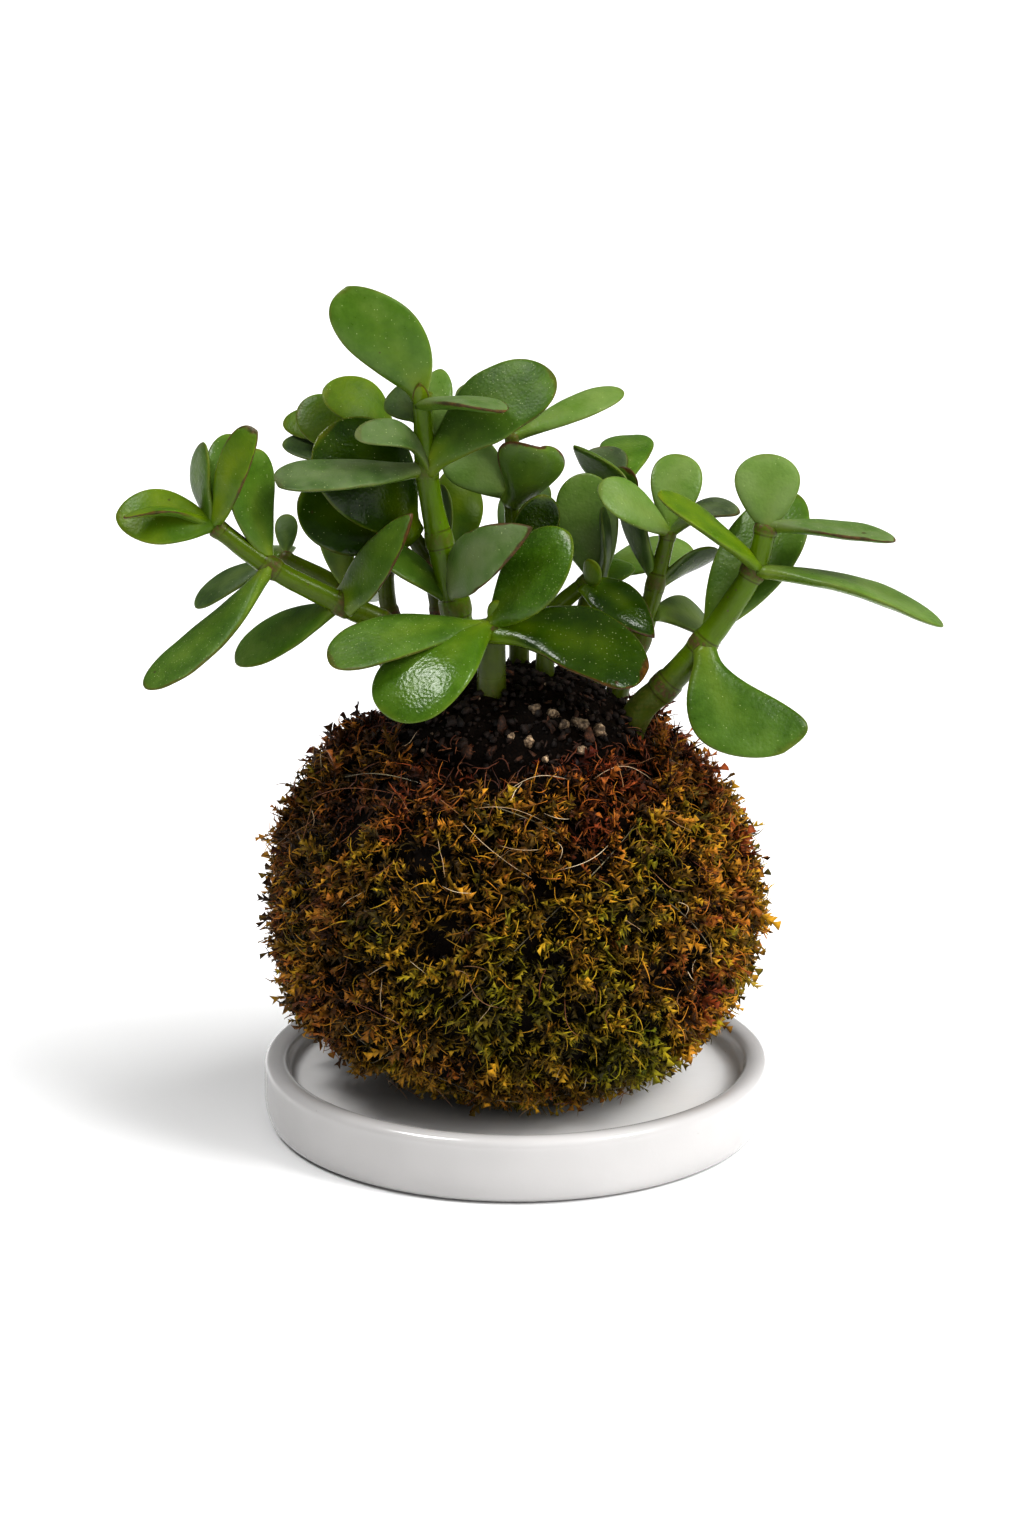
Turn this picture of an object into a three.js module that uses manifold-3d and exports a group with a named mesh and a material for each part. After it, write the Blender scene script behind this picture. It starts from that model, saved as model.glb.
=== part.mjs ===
// Kokedama: a jade plant of rooted cuttings in a moss-wrapped ball of soil on a glazed saucer.
// Millimetres, +Z up. The origin is the centre of the saucer's underside, on the table.
// +X is to the right and +Y away from a person who looks at the front.
import * as THREE from 'three';
import { mergeVertices } from 'three/addons/utils/BufferGeometryUtils.js';
import Module from 'manifold-3d';

const wasm = await Module();
wasm.setup();

// ---------------------------------------------------------------- driving dimensions
const SAUCER_RADIUS = 65;
const SAUCER_HEIGHT = 17.2;
const SAUCER_FOOT_RADIUS = 61;
const SAUCER_FLOOR_TOP = 10.5;
const SAUCER_FLOOR_RADIUS = 55;
const SAUCER_RIM_WIDTH = 6.2;
const SAUCER_RIM_ROUND = 3;
const SAUCER_SEGMENTS = 40;

const GAP = 0.3; // between touching pieces
const BALL_CENTRE_Z = 56;
const BALL_RADIUS = 60.5; // moss, level, without its tufts
const BALL_RISE = 57; // from the centre to the top
const BALL_DROP = 49.5; // from the centre to where the bottom would be if it weren't flat
const BALL_SQUARENESS = 2.1; // 2 would be an ellipsoid
const SHOULDER_LIFT = 0.03; // how much higher the left shoulder stands than a level ball's
const MOSS_THICKNESS = 7.5;
const MOSS_DETAIL = 8;
const MOSS_LUMP = 2; // half height of the broad lumps
const LUMP_SPACING = 23;
const MOSS_TUFT = 5; // height of the tallest tufts
const TUFT_SPACING = 5;
const TUFT_POWER = 1.5; // above 1, so that low tufts are commoner than tall ones
const MOSS_SINK = 4; // how far the moss ends below the bare soil
const EDGE_WANDER = 0.2; // radians, how unevenly the moss ends
const EDGE_SPACING = 14;
const OPENING_ANGLE = THREE.MathUtils.degToRad(36.5); // from straight up to the moss's edge
const OPENING_BLEND = THREE.MathUtils.degToRad(5);
const SOIL_MOUND = 4.5; // how far the bare soil heaps up above the smooth ball

const SOIL_DETAIL = 6;
const CHIP_COUNT = 16;
const CHIP_SIZE = 4.2;
const CHIP_SPREAD = 0.9; // share of the opening that holds chips
const GOLDEN_ANGLE = 2.4;

const THREAD_RADIUS = 0.5;
const THREAD_TILT = THREE.MathUtils.degToRad(44);
const THREAD_LOOPS = 3;
const FIRST_THREAD_TURN = 0.4;
const THREAD_STEPS = 24;
const THREAD_SIDES = 3;
const THREAD_ROOM = 2 * GAP; // at the corners of its groove, which leaves GAP at the middle of a side
const STEM_ROOM = GAP + 0.05; // the same round a stem
const SOIL_ROOM = GAP + 0.15; // from the soil to the moss, along a line from the ball's centre

const STEM_SIDES = 8;
const ROOT_DEPTH = 24; // how far a cutting's rooted end goes into the soil
const ROOT_PULL = 0.12; // how much that end leans to the ball's axis
const ROOT_TAPER = 0.6; // that end's radius, as a share of the stem's at the soil
const NODE_SWELLING = 0.14; // a stem is this much thicker where leaves leave it

const LEAF_STATIONS = [0, 0.14, 0.34, 0.56, 0.78, 0.94];
// Across a leaf: shares of half its width, and of its thickness.
const LEAF_SECTION = [[1, 0], [0.55, 0.5], [-0.55, 0.5], [-1, 0], [-0.55, -0.5], [0.55, -0.5]];
const LEAF_POWER = 1.45; // how fast a leaf narrows away from where it is widest
const LEAF_THICKNESS = 0.15; // share of the width, on top of the next one
const LEAF_THICKNESS_LEAST = 1.3;
const LEAF_TIP_THINNING = 0.5;

// ---------------------------------------------------------------- materials
function finish(color, roughness) {
  return new THREE.MeshStandardMaterial({ color, roughness, metalness: 0 });
}
const glaze = finish(0xf3f3f1, 0.15);
const moss = finish(0x6d6a24, 0.95);
const soil = finish(0x2e2119, 0.95);
const thread = finish(0xcfc9b0, 0.4);
const leaf = finish(0x5f8a35, 0.4);

// ---------------------------------------------------------------- the plant, stem by stem
// A stem: its radius at the soil and at its top, then the nodes it passes, the first at the soil.
const stem = (foot, top, ...nodes) => ({ foot, top, nodes });
// A leaf: where it leaves its stem, its tip, its width, and the way its upper face looks. arch lifts its
// middle and cup lifts its edges, as shares of its length and its width. foot is the width of its neck, as
// a share of its width. widest says how far along it is widest, skew moves that place to and fro on its
// two sides, and pull moves its middle.
function leafOf(from, tip, width, face, shape = {}) {
  const plain = { arch: 0.05, cup: 0.06, foot: 0.24, widest: 0.65, skew: 0, pull: [0, 0, 0] };
  return { from, tip, width, face, ...plain, ...shape };
}

const SHOOTS = {
  shoot_tall: {
    stems: [stem(4, 2.3, [-12, 3, 111], [-15, -1, 134], [-19, -2, 151], [-22, -2, 168], [-23, -2, 187])],
    leaves: [
      leafOf([-16, -3, 141], [4, -26, 158], 15, [-0.3, -0.9, 0.5], {
        arch: 0.06, foot: 0.8, widest: 0.42, pull: [-1, -3, -0.8],
      }),
      leafOf([-15, -1, 134], [-37, -3, 150], 12, [0.2, -0.5, 1]),
      leafOf([-22, -2, 168], [-57.5, -17, 166.5], 15, [0, -0.45, 1], { arch: 0.03, widest: 0.7, skew: -0.1 }),
      leafOf([-22, -2, 168], [9.5, -10, 192], 20, [-0.4, -1, 0.7], { foot: 0.34, pull: [-1, 0, 1.6] }),
      leafOf([-22, -2, 169], [-39, -13, 178], 9.5, [0.2, -0.6, 0.8], {
        arch: 0, cup: 0.1, foot: 0.65, widest: 0.7, pull: [3, -1, 3.4],
      }),
      leafOf([-23, -2, 185], [-41, -4, 213], 18, [0.1, -1, 0.1], {
        skew: 0.12, widest: 0.62, pull: [1, 0, 0],
      }),
      leafOf([-23, -2, 184], [-3, -22, 185], 12, [0, 0, 1], { foot: 0.45 }),
      leafOf([-22, -1, 172], [-18.5, 9, 191.5], 8.5, [0, -1, 0.3], { widest: 0.58 }),
      leafOf([-23, -1, 180], [-31, 7, 186], 9, [0, -1, 0.2], { foot: 0.4 }),
      leafOf([-23, -3, 183.5], [-23.5, -5.5, 190], 4.2, [0.1, -1, 0.2], {
        arch: 0, cup: 0, foot: 0.8, widest: 0.4,
      }),
    ],
  },
  shoot_front: {
    stems: [stem(3.7, 3.2, [-6, -14, 111], [-6, -18, 133])],
    leaves: [
      leafOf([-6, -18, 132], [-31, -36, 114], 23, [-0.35, -0.8, 0.8], {
        arch: 0.1, widest: 0.69, cup: 0.02, pull: [0.8, 0, -0.4],
      }),
      leafOf([-6, -18, 132], [-45.5, -26, 125.5], 17, [0, -0.55, 1], { arch: 0.06, widest: 0.7 }),
      leafOf([-6, -18, 131], [32, -28, 124], 23, [0, -0.66, 1], {
        arch: 0.1, skew: -0.12, foot: 0.36, pull: [0, 0, -1],
      }),
      leafOf([-6, -18, 132], [13, -23, 156], 20, [-0.7, -0.8, 0.5], { widest: 0.6, pull: [0.8, 0, -0.6] }),
      leafOf([-6, -18, 132], [-4, -20, 139], 4.5, [0, -1, 0.3], { arch: 0, cup: 0 }),
    ],
  },
  shoot_left: {
    stems: [stem(3.4, 2.2, [-22, -6, 110], [-33, -6, 130], [-43, -9, 136], [-60, -13, 146], [-73, -14, 156])],
    leaves: [
      leafOf([-42, -9, 136], [-25, -18, 160], 13.5, [-0.8, -0.6, 0.3], {
        foot: 0.75, widest: 0.44, pull: [1, -2, -1],
      }),
      leafOf([-43, -9, 136], [-70, -3, 120.5], 14.5, [-0.1, -0.6, 0.9], { arch: 0, pull: [0.6, 0, 0.2] }),
      leafOf([-60, -13, 146], [-64, -6, 174], 14.5, [0.9, -0.9, 0], { pull: [-3.6, 0, 0] }),
      leafOf([-60, -14, 146], [-90, -24, 118], 15, [-0.5, -0.5, 0.9], { arch: 0.02, pull: [2.2, 0, -2] }),
      leafOf([-73, -14, 156], [-97, -15, 159], 15, [0, -0.8, 0.6], { widest: 0.58 }),
      leafOf([-73, -14, 156], [-94, -24, 160], 6.5, [0, 0, 1], { arch: 0, pull: [0, 0, 2.6] }),
      leafOf([-73, -14, 156], [-62, -20, 180.5], 11, [-0.8, -0.9, 0.1], { pull: [-0.8, 0, 0], skew: 0.12 }),
      leafOf([-73, -14, 156], [-76, -9, 176], 11, [-1, -0.6, 0], { pull: [-0.6, 0, 0] }),
      leafOf([-73, -14, 156], [-70, -2, 177], 9, [0, -1, 0.4]),
    ],
  },
  shoot_right: {
    stems: [stem(3.8, 2.6, [30, -6, 107], [37, -8, 115], [46, -10, 126], [58, -12, 145], [61, -12, 156])],
    leaves: [
      leafOf([46, -11, 126], [65.5, -24, 102], 22, [0.1, -0.9, 0.6], {
        foot: 0.3, widest: 0.69, skew: 0.11, pull: [-4.2, 0, -2.8],
      }),
      leafOf([47, -9, 128], [70, 4, 161], 19.5, [-0.35, -0.9, 0.4], { widest: 0.6, pull: [0.4, 0, -0.4] }),
      leafOf([59, -13, 146], [34, -20, 165], 12.5, [0.3, -0.3, 0.9], { foot: 0.42, pull: [-0.4, 0, -0.6] }),
      leafOf([59, -13, 145], [103.5, -22, 133], 15, [0.2, -0.1, 1], { arch: 0.06, foot: 0.35 }),
      leafOf([61, -12, 154], [61, -8, 173], 16, [0, -1, 0.2]),
      leafOf([61, -12, 156], [91.5, -20, 153.5], 12, [0, -0.12, 1], { arch: 0.03 }),
    ],
  },
  shoot_middle_right: {
    stems: [stem(3, 1.9, [25, 4, 109], [31, 4, 124], [35, 4, 139], [38, 4, 152])],
    leaves: [
      leafOf([38, 4, 151], [20, -4, 164], 12.5, [0.2, -0.7, 0.7]),
      leafOf([38, 4, 151], [41, 14, 169.5], 13, [0, -1, 0.3]),
      leafOf([38, 4, 151], [55.5, 2, 157], 11, [0.1, -0.3, 1], { pull: [0, 0, 2] }),
      leafOf([35, 4, 139], [28, 9, 163], 11, [-0.9, -0.5, 0]),
      leafOf([35, 4, 138], [51, 7, 146], 10, [-0.2, 0.6, 0.8], { foot: 0.5 }),
      leafOf([34, 4, 131], [51, 20, 122], 15, [0, -0.8, 1], { foot: 0.35, pull: [0, 0, 1] }),
    ],
  },
  shoot_centre: {
    stems: [stem(2.7, 1.6, [1, 12, 112], [0, 12, 139], [-1, 10, 159], [-1, 10, 175])],
    leaves: [
      leafOf([-1, 10, 174], [27, 21, 184.5], 9, [-0.3, -0.8, 0.9], { foot: 0.3, pull: [0, 0, -0.8] }),
      leafOf([-1, 10, 174], [-14, 16, 186], 10, [0, -0.8, 0.8]),
      leafOf([-1, 9, 158], [6, -4, 174], 18, [0, 0.6, 1], {
        arch: -0.05, cup: 0.15, widest: 0.7, skew: -0.1, foot: 0.35,
      }),
      leafOf([-1, 10, 159], [-17, 16, 171], 14, [0, -0.8, 0.5]),
      leafOf([0, 11, 141], [7, -2, 162], 12, [0.3, -0.8, 0.5]),
      leafOf([0, 12, 141], [4, 34, 160], 14, [0, 0.4, 1]),
    ],
  },
  shoot_dark: {
    stems: [stem(2.8, 1.9, [-17, 12, 111], [-19, 12, 129], [-22, 12, 142], [-28, 10, 153])],
    leaves: [
      leafOf([-26, 10, 149], [-48, 0, 177], 26, [0.3, -0.9, 0.4], { foot: 0.3, pull: [1.6, -1, 0.4] }),
      leafOf([-27, 10, 149], [-54, 2, 160], 20, [0.1, -0.9, 0.4], { foot: 0.35, pull: [0, 1, -1] }),
      leafOf([-21, 12, 142], [-14, 26, 165], 14, [0.2, -1, 0.1], { widest: 0.5, pull: [1.6, 0, 0] }),
      leafOf([-21, 11, 142], [-18, 6, 163], 9, [-1, -0.7, 0], { pull: [2, 0, 0] }),
    ],
  },
  shoot_woody: {
    stems: [stem(2.6, 1.6, [-23, 20, 108], [-32, 20, 127], [-33, 20, 140], [-31, 18, 173])],
    leaves: [
      leafOf([-31, 17, 173], [-48, 12, 186], 14, [0.3, -0.8, 0.7], { foot: 0.35, pull: [2.2, 0, 0.8] }),
      leafOf([-31, 18, 171], [-55, 20, 180], 14, [0, -0.8, 0.5], { foot: 0.3, pull: [0, 0, -1] }),
      leafOf([-31, 18, 172], [-59, 27, 176], 10, [0, -0.8, 0.6]),
      leafOf([-31, 18, 170], [-59, 22, 171], 11, [0, -0.5, 1], { pull: [0, 0, -2.6] }),
      leafOf([-32, 19, 156], [-47, 44, 162], 13, [0, 0.2, 1]),
      leafOf([-32, 19, 156], [-17, 42, 158], 12, [0, 0.2, 1]),
      leafOf([-33, 20, 140], [-36, 48, 146], 14, [0, 0.3, 1]),
    ],
  },
  shoot_back_left: {
    stems: [stem(2.5, 1.8, [-29, 9, 108], [-44, 26, 132], [-60, 28, 141])],
    leaves: [
      leafOf([-60, 28, 140], [-83, 30, 127.5], 10.5, [0, -0.5, 1]),
      leafOf([-59, 28, 141], [-59, 33, 151], 6, [0, -1, 0.2]),
      leafOf([-44, 26, 132.5], [-48, 24, 152], 8.5, [0, -1, 0.2], { pull: [0.8, 0, 0] }),
      leafOf([-60, 28, 140], [-67, 50, 138], 14, [0, 0.2, 1]),
      leafOf([-45, 26, 132], [-38, 54, 124], 13, [0, 0.3, 1]),
    ],
  },
  shoot_low: {
    stems: [stem(2.5, 2, [7, 0, 112], [9, 0, 131], [18, -4, 141])],
    leaves: [
      leafOf([17, -4, 140], [34, -12, 128], 12, [0.2, -0.7, 0.7], { arch: 0.1, foot: 0.6, widest: 0.42 }),
      leafOf([18, -4, 140], [20, -10, 146], 7, [0, -0.8, 0.6]),
    ],
  },
  shoot_inner_right: {
    stems: [stem(2.4, 1.8, [19, 10, 110], [21, 10, 137])],
    leaves: [
      leafOf([21, 11, 136], [16.5, 12, 165], 16, [-0.2, -1, 0.2], { foot: 0.34 }),
      leafOf([21, 10, 136], [21, 2, 158], 9, [1, -0.2, 0]),
      leafOf([21, 10, 136], [28, 20, 141], 9, [0, -0.5, 1]),
    ],
  },
  shoot_back_right: {
    stems: [stem(2.7, 1.7, [14, 24, 109], [20, 30, 135], [27, 30, 160])],
    leaves: [
      leafOf([26, 30, 157], [14.5, 16, 171.5], 12, [-0.7, -0.9, 0.1], {
        foot: 0.45, widest: 0.42, pull: [2.6, 0, 0.6],
      }),
      leafOf([25.5, 30, 158], [22, 42, 167], 11, [0, -0.5, 1], { foot: 0.3 }),
      leafOf([26, 30, 154], [29, 26, 164], 8, [-0.6, -1, 0.2], { pull: [0.8, 0, 0] }),
      leafOf([20, 30, 135], [46, 38, 141], 14, [0, -0.5, 1]),
      leafOf([20, 30, 135], [8, 54, 148], 14, [0, 0.3, 1]),
      leafOf([27, 30, 158], [30, 56, 168], 14, [0, 0.2, 1]),
    ],
  },
};

// ---------------------------------------------------------------- solids and meshes
function solid(points, faces) {
  const vertProperties = new Float32Array(points.flatMap((p) => [p.x, p.y, p.z]));
  const triVerts = new Uint32Array(faces.flat());
  return new wasm.Manifold(new wasm.Mesh({ numProp: 3, vertProperties, triVerts }));
}

function solidFromGeometry(geometry) {
  const bare = new THREE.BufferGeometry().setAttribute('position', geometry.getAttribute('position'));
  const merged = mergeVertices(geometry.index ? bare.setIndex(geometry.index) : bare, 1e-4);
  const vertProperties = new Float32Array(merged.getAttribute('position').array);
  const triVerts = new Uint32Array(merged.index.array);
  return new wasm.Manifold(new wasm.Mesh({ numProp: 3, vertProperties, triVerts }));
}

function meshFromSolid(name, body, material) {
  const { vertProperties, triVerts } = body.getMesh();
  const geometry = new THREE.BufferGeometry();
  geometry.setAttribute('position', new THREE.BufferAttribute(new Float32Array(vertProperties), 3));
  geometry.setIndex(new THREE.BufferAttribute(new Uint32Array(triVerts), 1));
  geometry.computeVertexNormals();
  const mesh = new THREE.Mesh(geometry, material);
  mesh.name = name;
  return mesh;
}

// Random numbers from 0 to 1 that repeat from run to run.
function seededRandom(seed) {
  let state = seed;
  return () => {
    state = (state * 1664525 + 1013904223) % 4294967296;
    return state / 4294967296;
  };
}

const vector = (xyz) => new THREE.Vector3(...xyz);
const joined = (bodies) => bodies.reduce((whole, body) => whole.add(body));
const largest = (body) => body.decompose().reduce((a, b) => (a.volume() > b.volume() ? a : b));

// A closed solid through rings of points, each ring anticlockwise about the way the rings go.
function loft(rings, startPoint, endPoint) {
  const sides = rings[0].length;
  const points = [...rings.flat(), startPoint, endPoint];
  const faces = [];
  for (let first = 0; first < (rings.length - 1) * sides; first += sides) {
    for (let j = 0; j < sides; j += 1) {
      const a = first + j;
      const b = first + ((j + 1) % sides);
      faces.push([a, b, b + sides], [a, b + sides, a + sides]);
    }
  }
  const last = (rings.length - 1) * sides;
  for (let j = 0; j < sides; j += 1) {
    const next = (j + 1) % sides;
    faces.push([points.length - 2, next, j], [points.length - 1, last + j, last + next]);
  }
  return solid(points, faces);
}

// ---------------------------------------------------------------- saucer
function saucerGeometry() {
  const rimInside = SAUCER_RADIUS - SAUCER_RIM_WIDTH;
  const outline = new THREE.Path();
  outline.moveTo(0, 0);
  outline.lineTo(SAUCER_FOOT_RADIUS, 0);
  outline.quadraticCurveTo(SAUCER_RADIUS, 0, SAUCER_RADIUS, SAUCER_HEIGHT / 2);
  outline.lineTo(SAUCER_RADIUS, SAUCER_HEIGHT - SAUCER_RIM_ROUND);
  outline.quadraticCurveTo(SAUCER_RADIUS, SAUCER_HEIGHT, SAUCER_RADIUS - SAUCER_RIM_ROUND, SAUCER_HEIGHT);
  outline.quadraticCurveTo(rimInside, SAUCER_HEIGHT, rimInside, SAUCER_HEIGHT - SAUCER_RIM_ROUND);
  outline.quadraticCurveTo(rimInside, SAUCER_FLOOR_TOP, SAUCER_FLOOR_RADIUS, SAUCER_FLOOR_TOP);
  outline.lineTo(0, SAUCER_FLOOR_TOP);
  const geometry = new THREE.LatheGeometry(outline.getPoints(3), SAUCER_SEGMENTS);
  return geometry.rotateX(Math.PI / 2);
}

// ---------------------------------------------------------------- ball of soil and moss
// A repeatable number from 0 to 1 for each point of a lattice.
function hash(i, j, k) {
  const s = Math.sin(i * 127.1 + j * 311.7 + k * 74.7) * 43758.5453;
  return s - Math.floor(s);
}

// Smooth noise from 0 to 1, whose lattice cells measure size.
function noise(p, size) {
  const cell = [p.x, p.y, p.z].map((v) => Math.floor(v / size));
  const part = [p.x, p.y, p.z].map((v, axis) => THREE.MathUtils.smoothstep(v / size - cell[axis], 0, 1));
  let sum = 0;
  for (let corner = 0; corner < 8; corner += 1) {
    const step = [corner & 1, (corner >> 1) & 1, corner >> 2];
    const share = step.reduce((product, s, axis) => product * (s ? part[axis] : 1 - part[axis]), 1);
    sum += share * hash(cell[0] + step[0], cell[1] + step[1], cell[2] + step[2]);
  }
  return sum;
}

// How far the smooth ball's skin is from its centre, along a unit vector.
function ballReach(way) {
  const level = Math.hypot(way.x, way.y) / BALL_RADIUS;
  const steep = Math.abs(way.z) / (way.z > 0 ? BALL_RISE : BALL_DROP);
  const reach = (level ** BALL_SQUARENESS + steep ** BALL_SQUARENESS) ** (-1 / BALL_SQUARENESS);
  return reach * (1 - SHOULDER_LIFT * way.x * Math.max(way.z, 0));
}

// 1 where the top of the ball is bare soil, 0 where moss covers it.
function bareness(way, wander = 0) {
  const past = Math.acos(way.z) + wander - OPENING_ANGLE;
  return 1 - THREE.MathUtils.smoothstep(past, -OPENING_BLEND, OPENING_BLEND);
}

function mound(way) {
  return SOIL_MOUND * THREE.MathUtils.smoothstep(way.z, Math.cos(OPENING_ANGLE), 1);
}

// A ball whose skin lies reachOf(way) from the centre, cut flat at floorZ.
function ball(detail, reachOf, floorZ) {
  const geometry = new THREE.IcosahedronGeometry(1, detail);
  const places = geometry.getAttribute('position');
  const way = new THREE.Vector3();
  for (let i = 0; i < places.count; i += 1) {
    way.fromBufferAttribute(places, i).normalize();
    const reach = reachOf(way);
    places.setXYZ(i, way.x * reach, way.y * reach, Math.max(BALL_CENTRE_Z + way.z * reach, floorZ));
  }
  return solidFromGeometry(geometry);
}

// The soil fills the moss and comes up to the ball's skin where the moss is open. spare makes it larger.
function soilBall(spare) {
  const reachOf = (way) => {
    const skin = ballReach(way);
    return skin + mound(way) - MOSS_THICKNESS * (1 - bareness(way)) + spare;
  };
  return ball(SOIL_DETAIL, reachOf, SAUCER_FLOOR_TOP + MOSS_THICKNESS - spare);
}

function mossReach(way) {
  const skin = ballReach(way);
  const place = way.clone().multiplyScalar(skin);
  const lump = MOSS_LUMP * (2 * noise(place, LUMP_SPACING) - 1);
  const [i, j, k] = place.toArray().map((v) => Math.round(v / TUFT_SPACING));
  const tuft = MOSS_TUFT * (hash(i, j, k) ** TUFT_POWER - 1 / (1 + TUFT_POWER));
  const bare = bareness(way, EDGE_WANDER * (noise(place, EDGE_SPACING) - 0.5));
  return skin + (lump + tuft) * (1 - bare) - MOSS_SINK * bare;
}

// Bits of bark and perlite that stand out of the bare soil, spread as the seeds of a sunflower are.
function soilChips(random) {
  const chips = [];
  for (let i = 0; i < CHIP_COUNT; i += 1) {
    const angle = OPENING_ANGLE * CHIP_SPREAD * Math.sqrt((i + 0.5) / CHIP_COUNT);
    const turn = i * GOLDEN_ANGLE;
    const way = new THREE.Vector3(
      Math.sin(angle) * Math.cos(turn),
      Math.sin(angle) * Math.sin(turn),
      Math.cos(angle),
    );
    const place = way.clone().multiplyScalar(ballReach(way) + mound(way));
    const size = CHIP_SIZE * THREE.MathUtils.lerp(0.6, 1.2, random());
    const chip = new THREE.BoxGeometry(size, size * THREE.MathUtils.lerp(0.6, 1, random()), size * 0.7);
    chip.rotateX(random() * Math.PI).rotateZ(random() * Math.PI);
    chip.translate(place.x, place.y, BALL_CENTRE_Z + place.z);
    chips.push(solidFromGeometry(chip));
  }
  return chips;
}

// One loop of thread round the ball, in a tilted plane, with its middle in the moss's skin.
function threadLoop(turn, radius) {
  const tilt = new THREE.Euler(THREAD_TILT, 0, turn, 'ZXY');
  const across = new THREE.Vector3(0, 0, 1).applyEuler(tilt);
  const points = [];
  const faces = [];
  for (let i = 0; i < THREAD_STEPS; i += 1) {
    const angle = (2 * Math.PI * i) / THREAD_STEPS;
    const way = new THREE.Vector3(Math.cos(angle), Math.sin(angle), 0).applyEuler(tilt);
    for (let j = 0; j < THREAD_SIDES; j += 1) {
      const round = (2 * Math.PI * j) / THREAD_SIDES;
      const point = way.clone().multiplyScalar(ballReach(way) + radius * Math.cos(round));
      point.addScaledVector(across, radius * Math.sin(round));
      point.z += BALL_CENTRE_Z;
      points.push(point);
      const a = i * THREAD_SIDES + j;
      const b = i * THREAD_SIDES + ((j + 1) % THREAD_SIDES);
      const ahead = ((i + 1) % THREAD_STEPS) * THREAD_SIDES - i * THREAD_SIDES;
      faces.push([a, a + ahead, b + ahead], [a, b + ahead, b]);
    }
  }
  return solid(points, faces);
}

function threadLoops(radius) {
  const loops = [];
  for (let i = 0; i < THREAD_LOOPS; i += 1) {
    loops.push(threadLoop(FIRST_THREAD_TURN + (2 * Math.PI * i) / THREAD_LOOPS, radius));
  }
  return joined(loops);
}

// ---------------------------------------------------------------- stems and leaves
// A stem with its rooted end in the soil. spare makes it thicker, for the hole it stands in.
function stemSolid({ foot, top, nodes }, spare = 0) {
  const [x, y, z] = nodes[0];
  const root = [x * (1 - ROOT_PULL), y * (1 - ROOT_PULL), z - ROOT_DEPTH - spare];
  const curve = new THREE.CatmullRomCurve3([root, ...nodes].map(vector), false, 'centripetal');
  const count = nodes.length * 2;
  const rings = [];
  let across = new THREE.Vector3(1, 0, 0);
  for (let i = 0; i <= count; i += 1) {
    const tangent = curve.getTangent(i / count);
    across = across.clone().addScaledVector(tangent, -across.dot(tangent)).normalize();
    const other = tangent.clone().cross(across);
    const share = Math.max(0, (i - 2) / (count - 2));
    const swollen = i % 2 === 0 && i > 2 ? 1 + NODE_SWELLING : 1;
    const radius = (i === 0 ? ROOT_TAPER * foot : THREE.MathUtils.lerp(foot, top, share) * swollen) + spare;
    const ring = [];
    for (let j = 0; j < STEM_SIDES; j += 1) {
      const round = (2 * Math.PI * j) / STEM_SIDES;
      const point = curve.getPoint(i / count).addScaledVector(across, radius * Math.cos(round));
      ring.push(point.addScaledVector(other, radius * Math.sin(round)));
    }
    rings.push(ring);
  }
  return loft(rings, curve.getPoint(0), curve.getPoint(1));
}

// Half of a leaf's width along its length, as a share of half its full width.
function leafOutline(t, widest, foot) {
  const shape = (s) => (s ** widest * (1 - s) ** (1 - widest)) ** LEAF_POWER;
  return Math.max(t < widest ? foot : 0, shape(t) / shape(widest));
}

function leafSolid({ from, tip, width, face, arch, cup, foot, widest, skew, pull }) {
  const start = vector(from);
  const end = vector(tip);
  const along = end.clone().sub(start);
  const length = along.length();
  along.normalize();
  const up = vector(face);
  up.addScaledVector(along, -up.dot(along)).normalize();
  const side = up.clone().cross(along);
  const rings = LEAF_STATIONS.map((t) => {
    const halfAt = (place) => (width / 2) * leafOutline(t, place, foot);
    const [oneHalf, otherHalf] = [halfAt(widest + skew), halfAt(widest - skew)];
    const half = (oneHalf + otherHalf) / 2;
    const thick = (LEAF_THICKNESS_LEAST + LEAF_THICKNESS * width) * (1 - LEAF_TIP_THINNING * t * t);
    const middle = start.clone().addScaledVector(along, length * t);
    middle.addScaledVector(up, arch * length * Math.sin(Math.PI * t));
    middle.addScaledVector(vector(pull), Math.sin(Math.PI * t));
    return LEAF_SECTION.map(([u, v]) => {
      const lift = cup * 2 * half * u * u + v * thick;
      const out = u * (u > 0 ? oneHalf : otherHalf);
      return middle.clone().addScaledVector(side, out).addScaledVector(up, lift);
    });
  });
  return loft(rings, start, end);
}

function shootSolid({ stems, leaves }) {
  return joined([...stems.map((s) => stemSolid(s)), ...leaves.map(leafSolid)]);
}

// ---------------------------------------------------------------- the whole plant
const kokedama = new THREE.Group();

const saucer = new THREE.Mesh(saucerGeometry(), glaze);
saucer.name = 'saucer';
kokedama.add(saucer);

const shoots = Object.entries(SHOOTS);
const stemHoles = joined(shoots.map(([, { stems }]) => joined(stems.map((s) => stemSolid(s, STEM_ROOM)))));
const soilWithChips = joined([soilBall(0), ...soilChips(seededRandom(7))]);
kokedama.add(meshFromSolid('soil_ball', largest(soilWithChips.subtract(stemHoles)), soil));

const mossSkin = ball(MOSS_DETAIL, mossReach, SAUCER_FLOOR_TOP + GAP);
const mossRoom = joined([soilBall(SOIL_ROOM), stemHoles, threadLoops(THREAD_RADIUS + THREAD_ROOM)]);
kokedama.add(meshFromSolid('moss_wrap', largest(mossSkin.subtract(mossRoom)), moss));
kokedama.add(meshFromSolid('binding_thread', threadLoops(THREAD_RADIUS), thread));

for (const [name, shoot] of shoots) {
  kokedama.add(meshFromSolid(name, shootSolid(shoot), leaf));
}

export default kokedama;
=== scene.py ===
"""Looks of the kokedama: jade plant cuttings in a moss ball on a glazed saucer.

Shapes are worked out in millimetres, in the frame of the CAD model, and stored in metres.
"""

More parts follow.
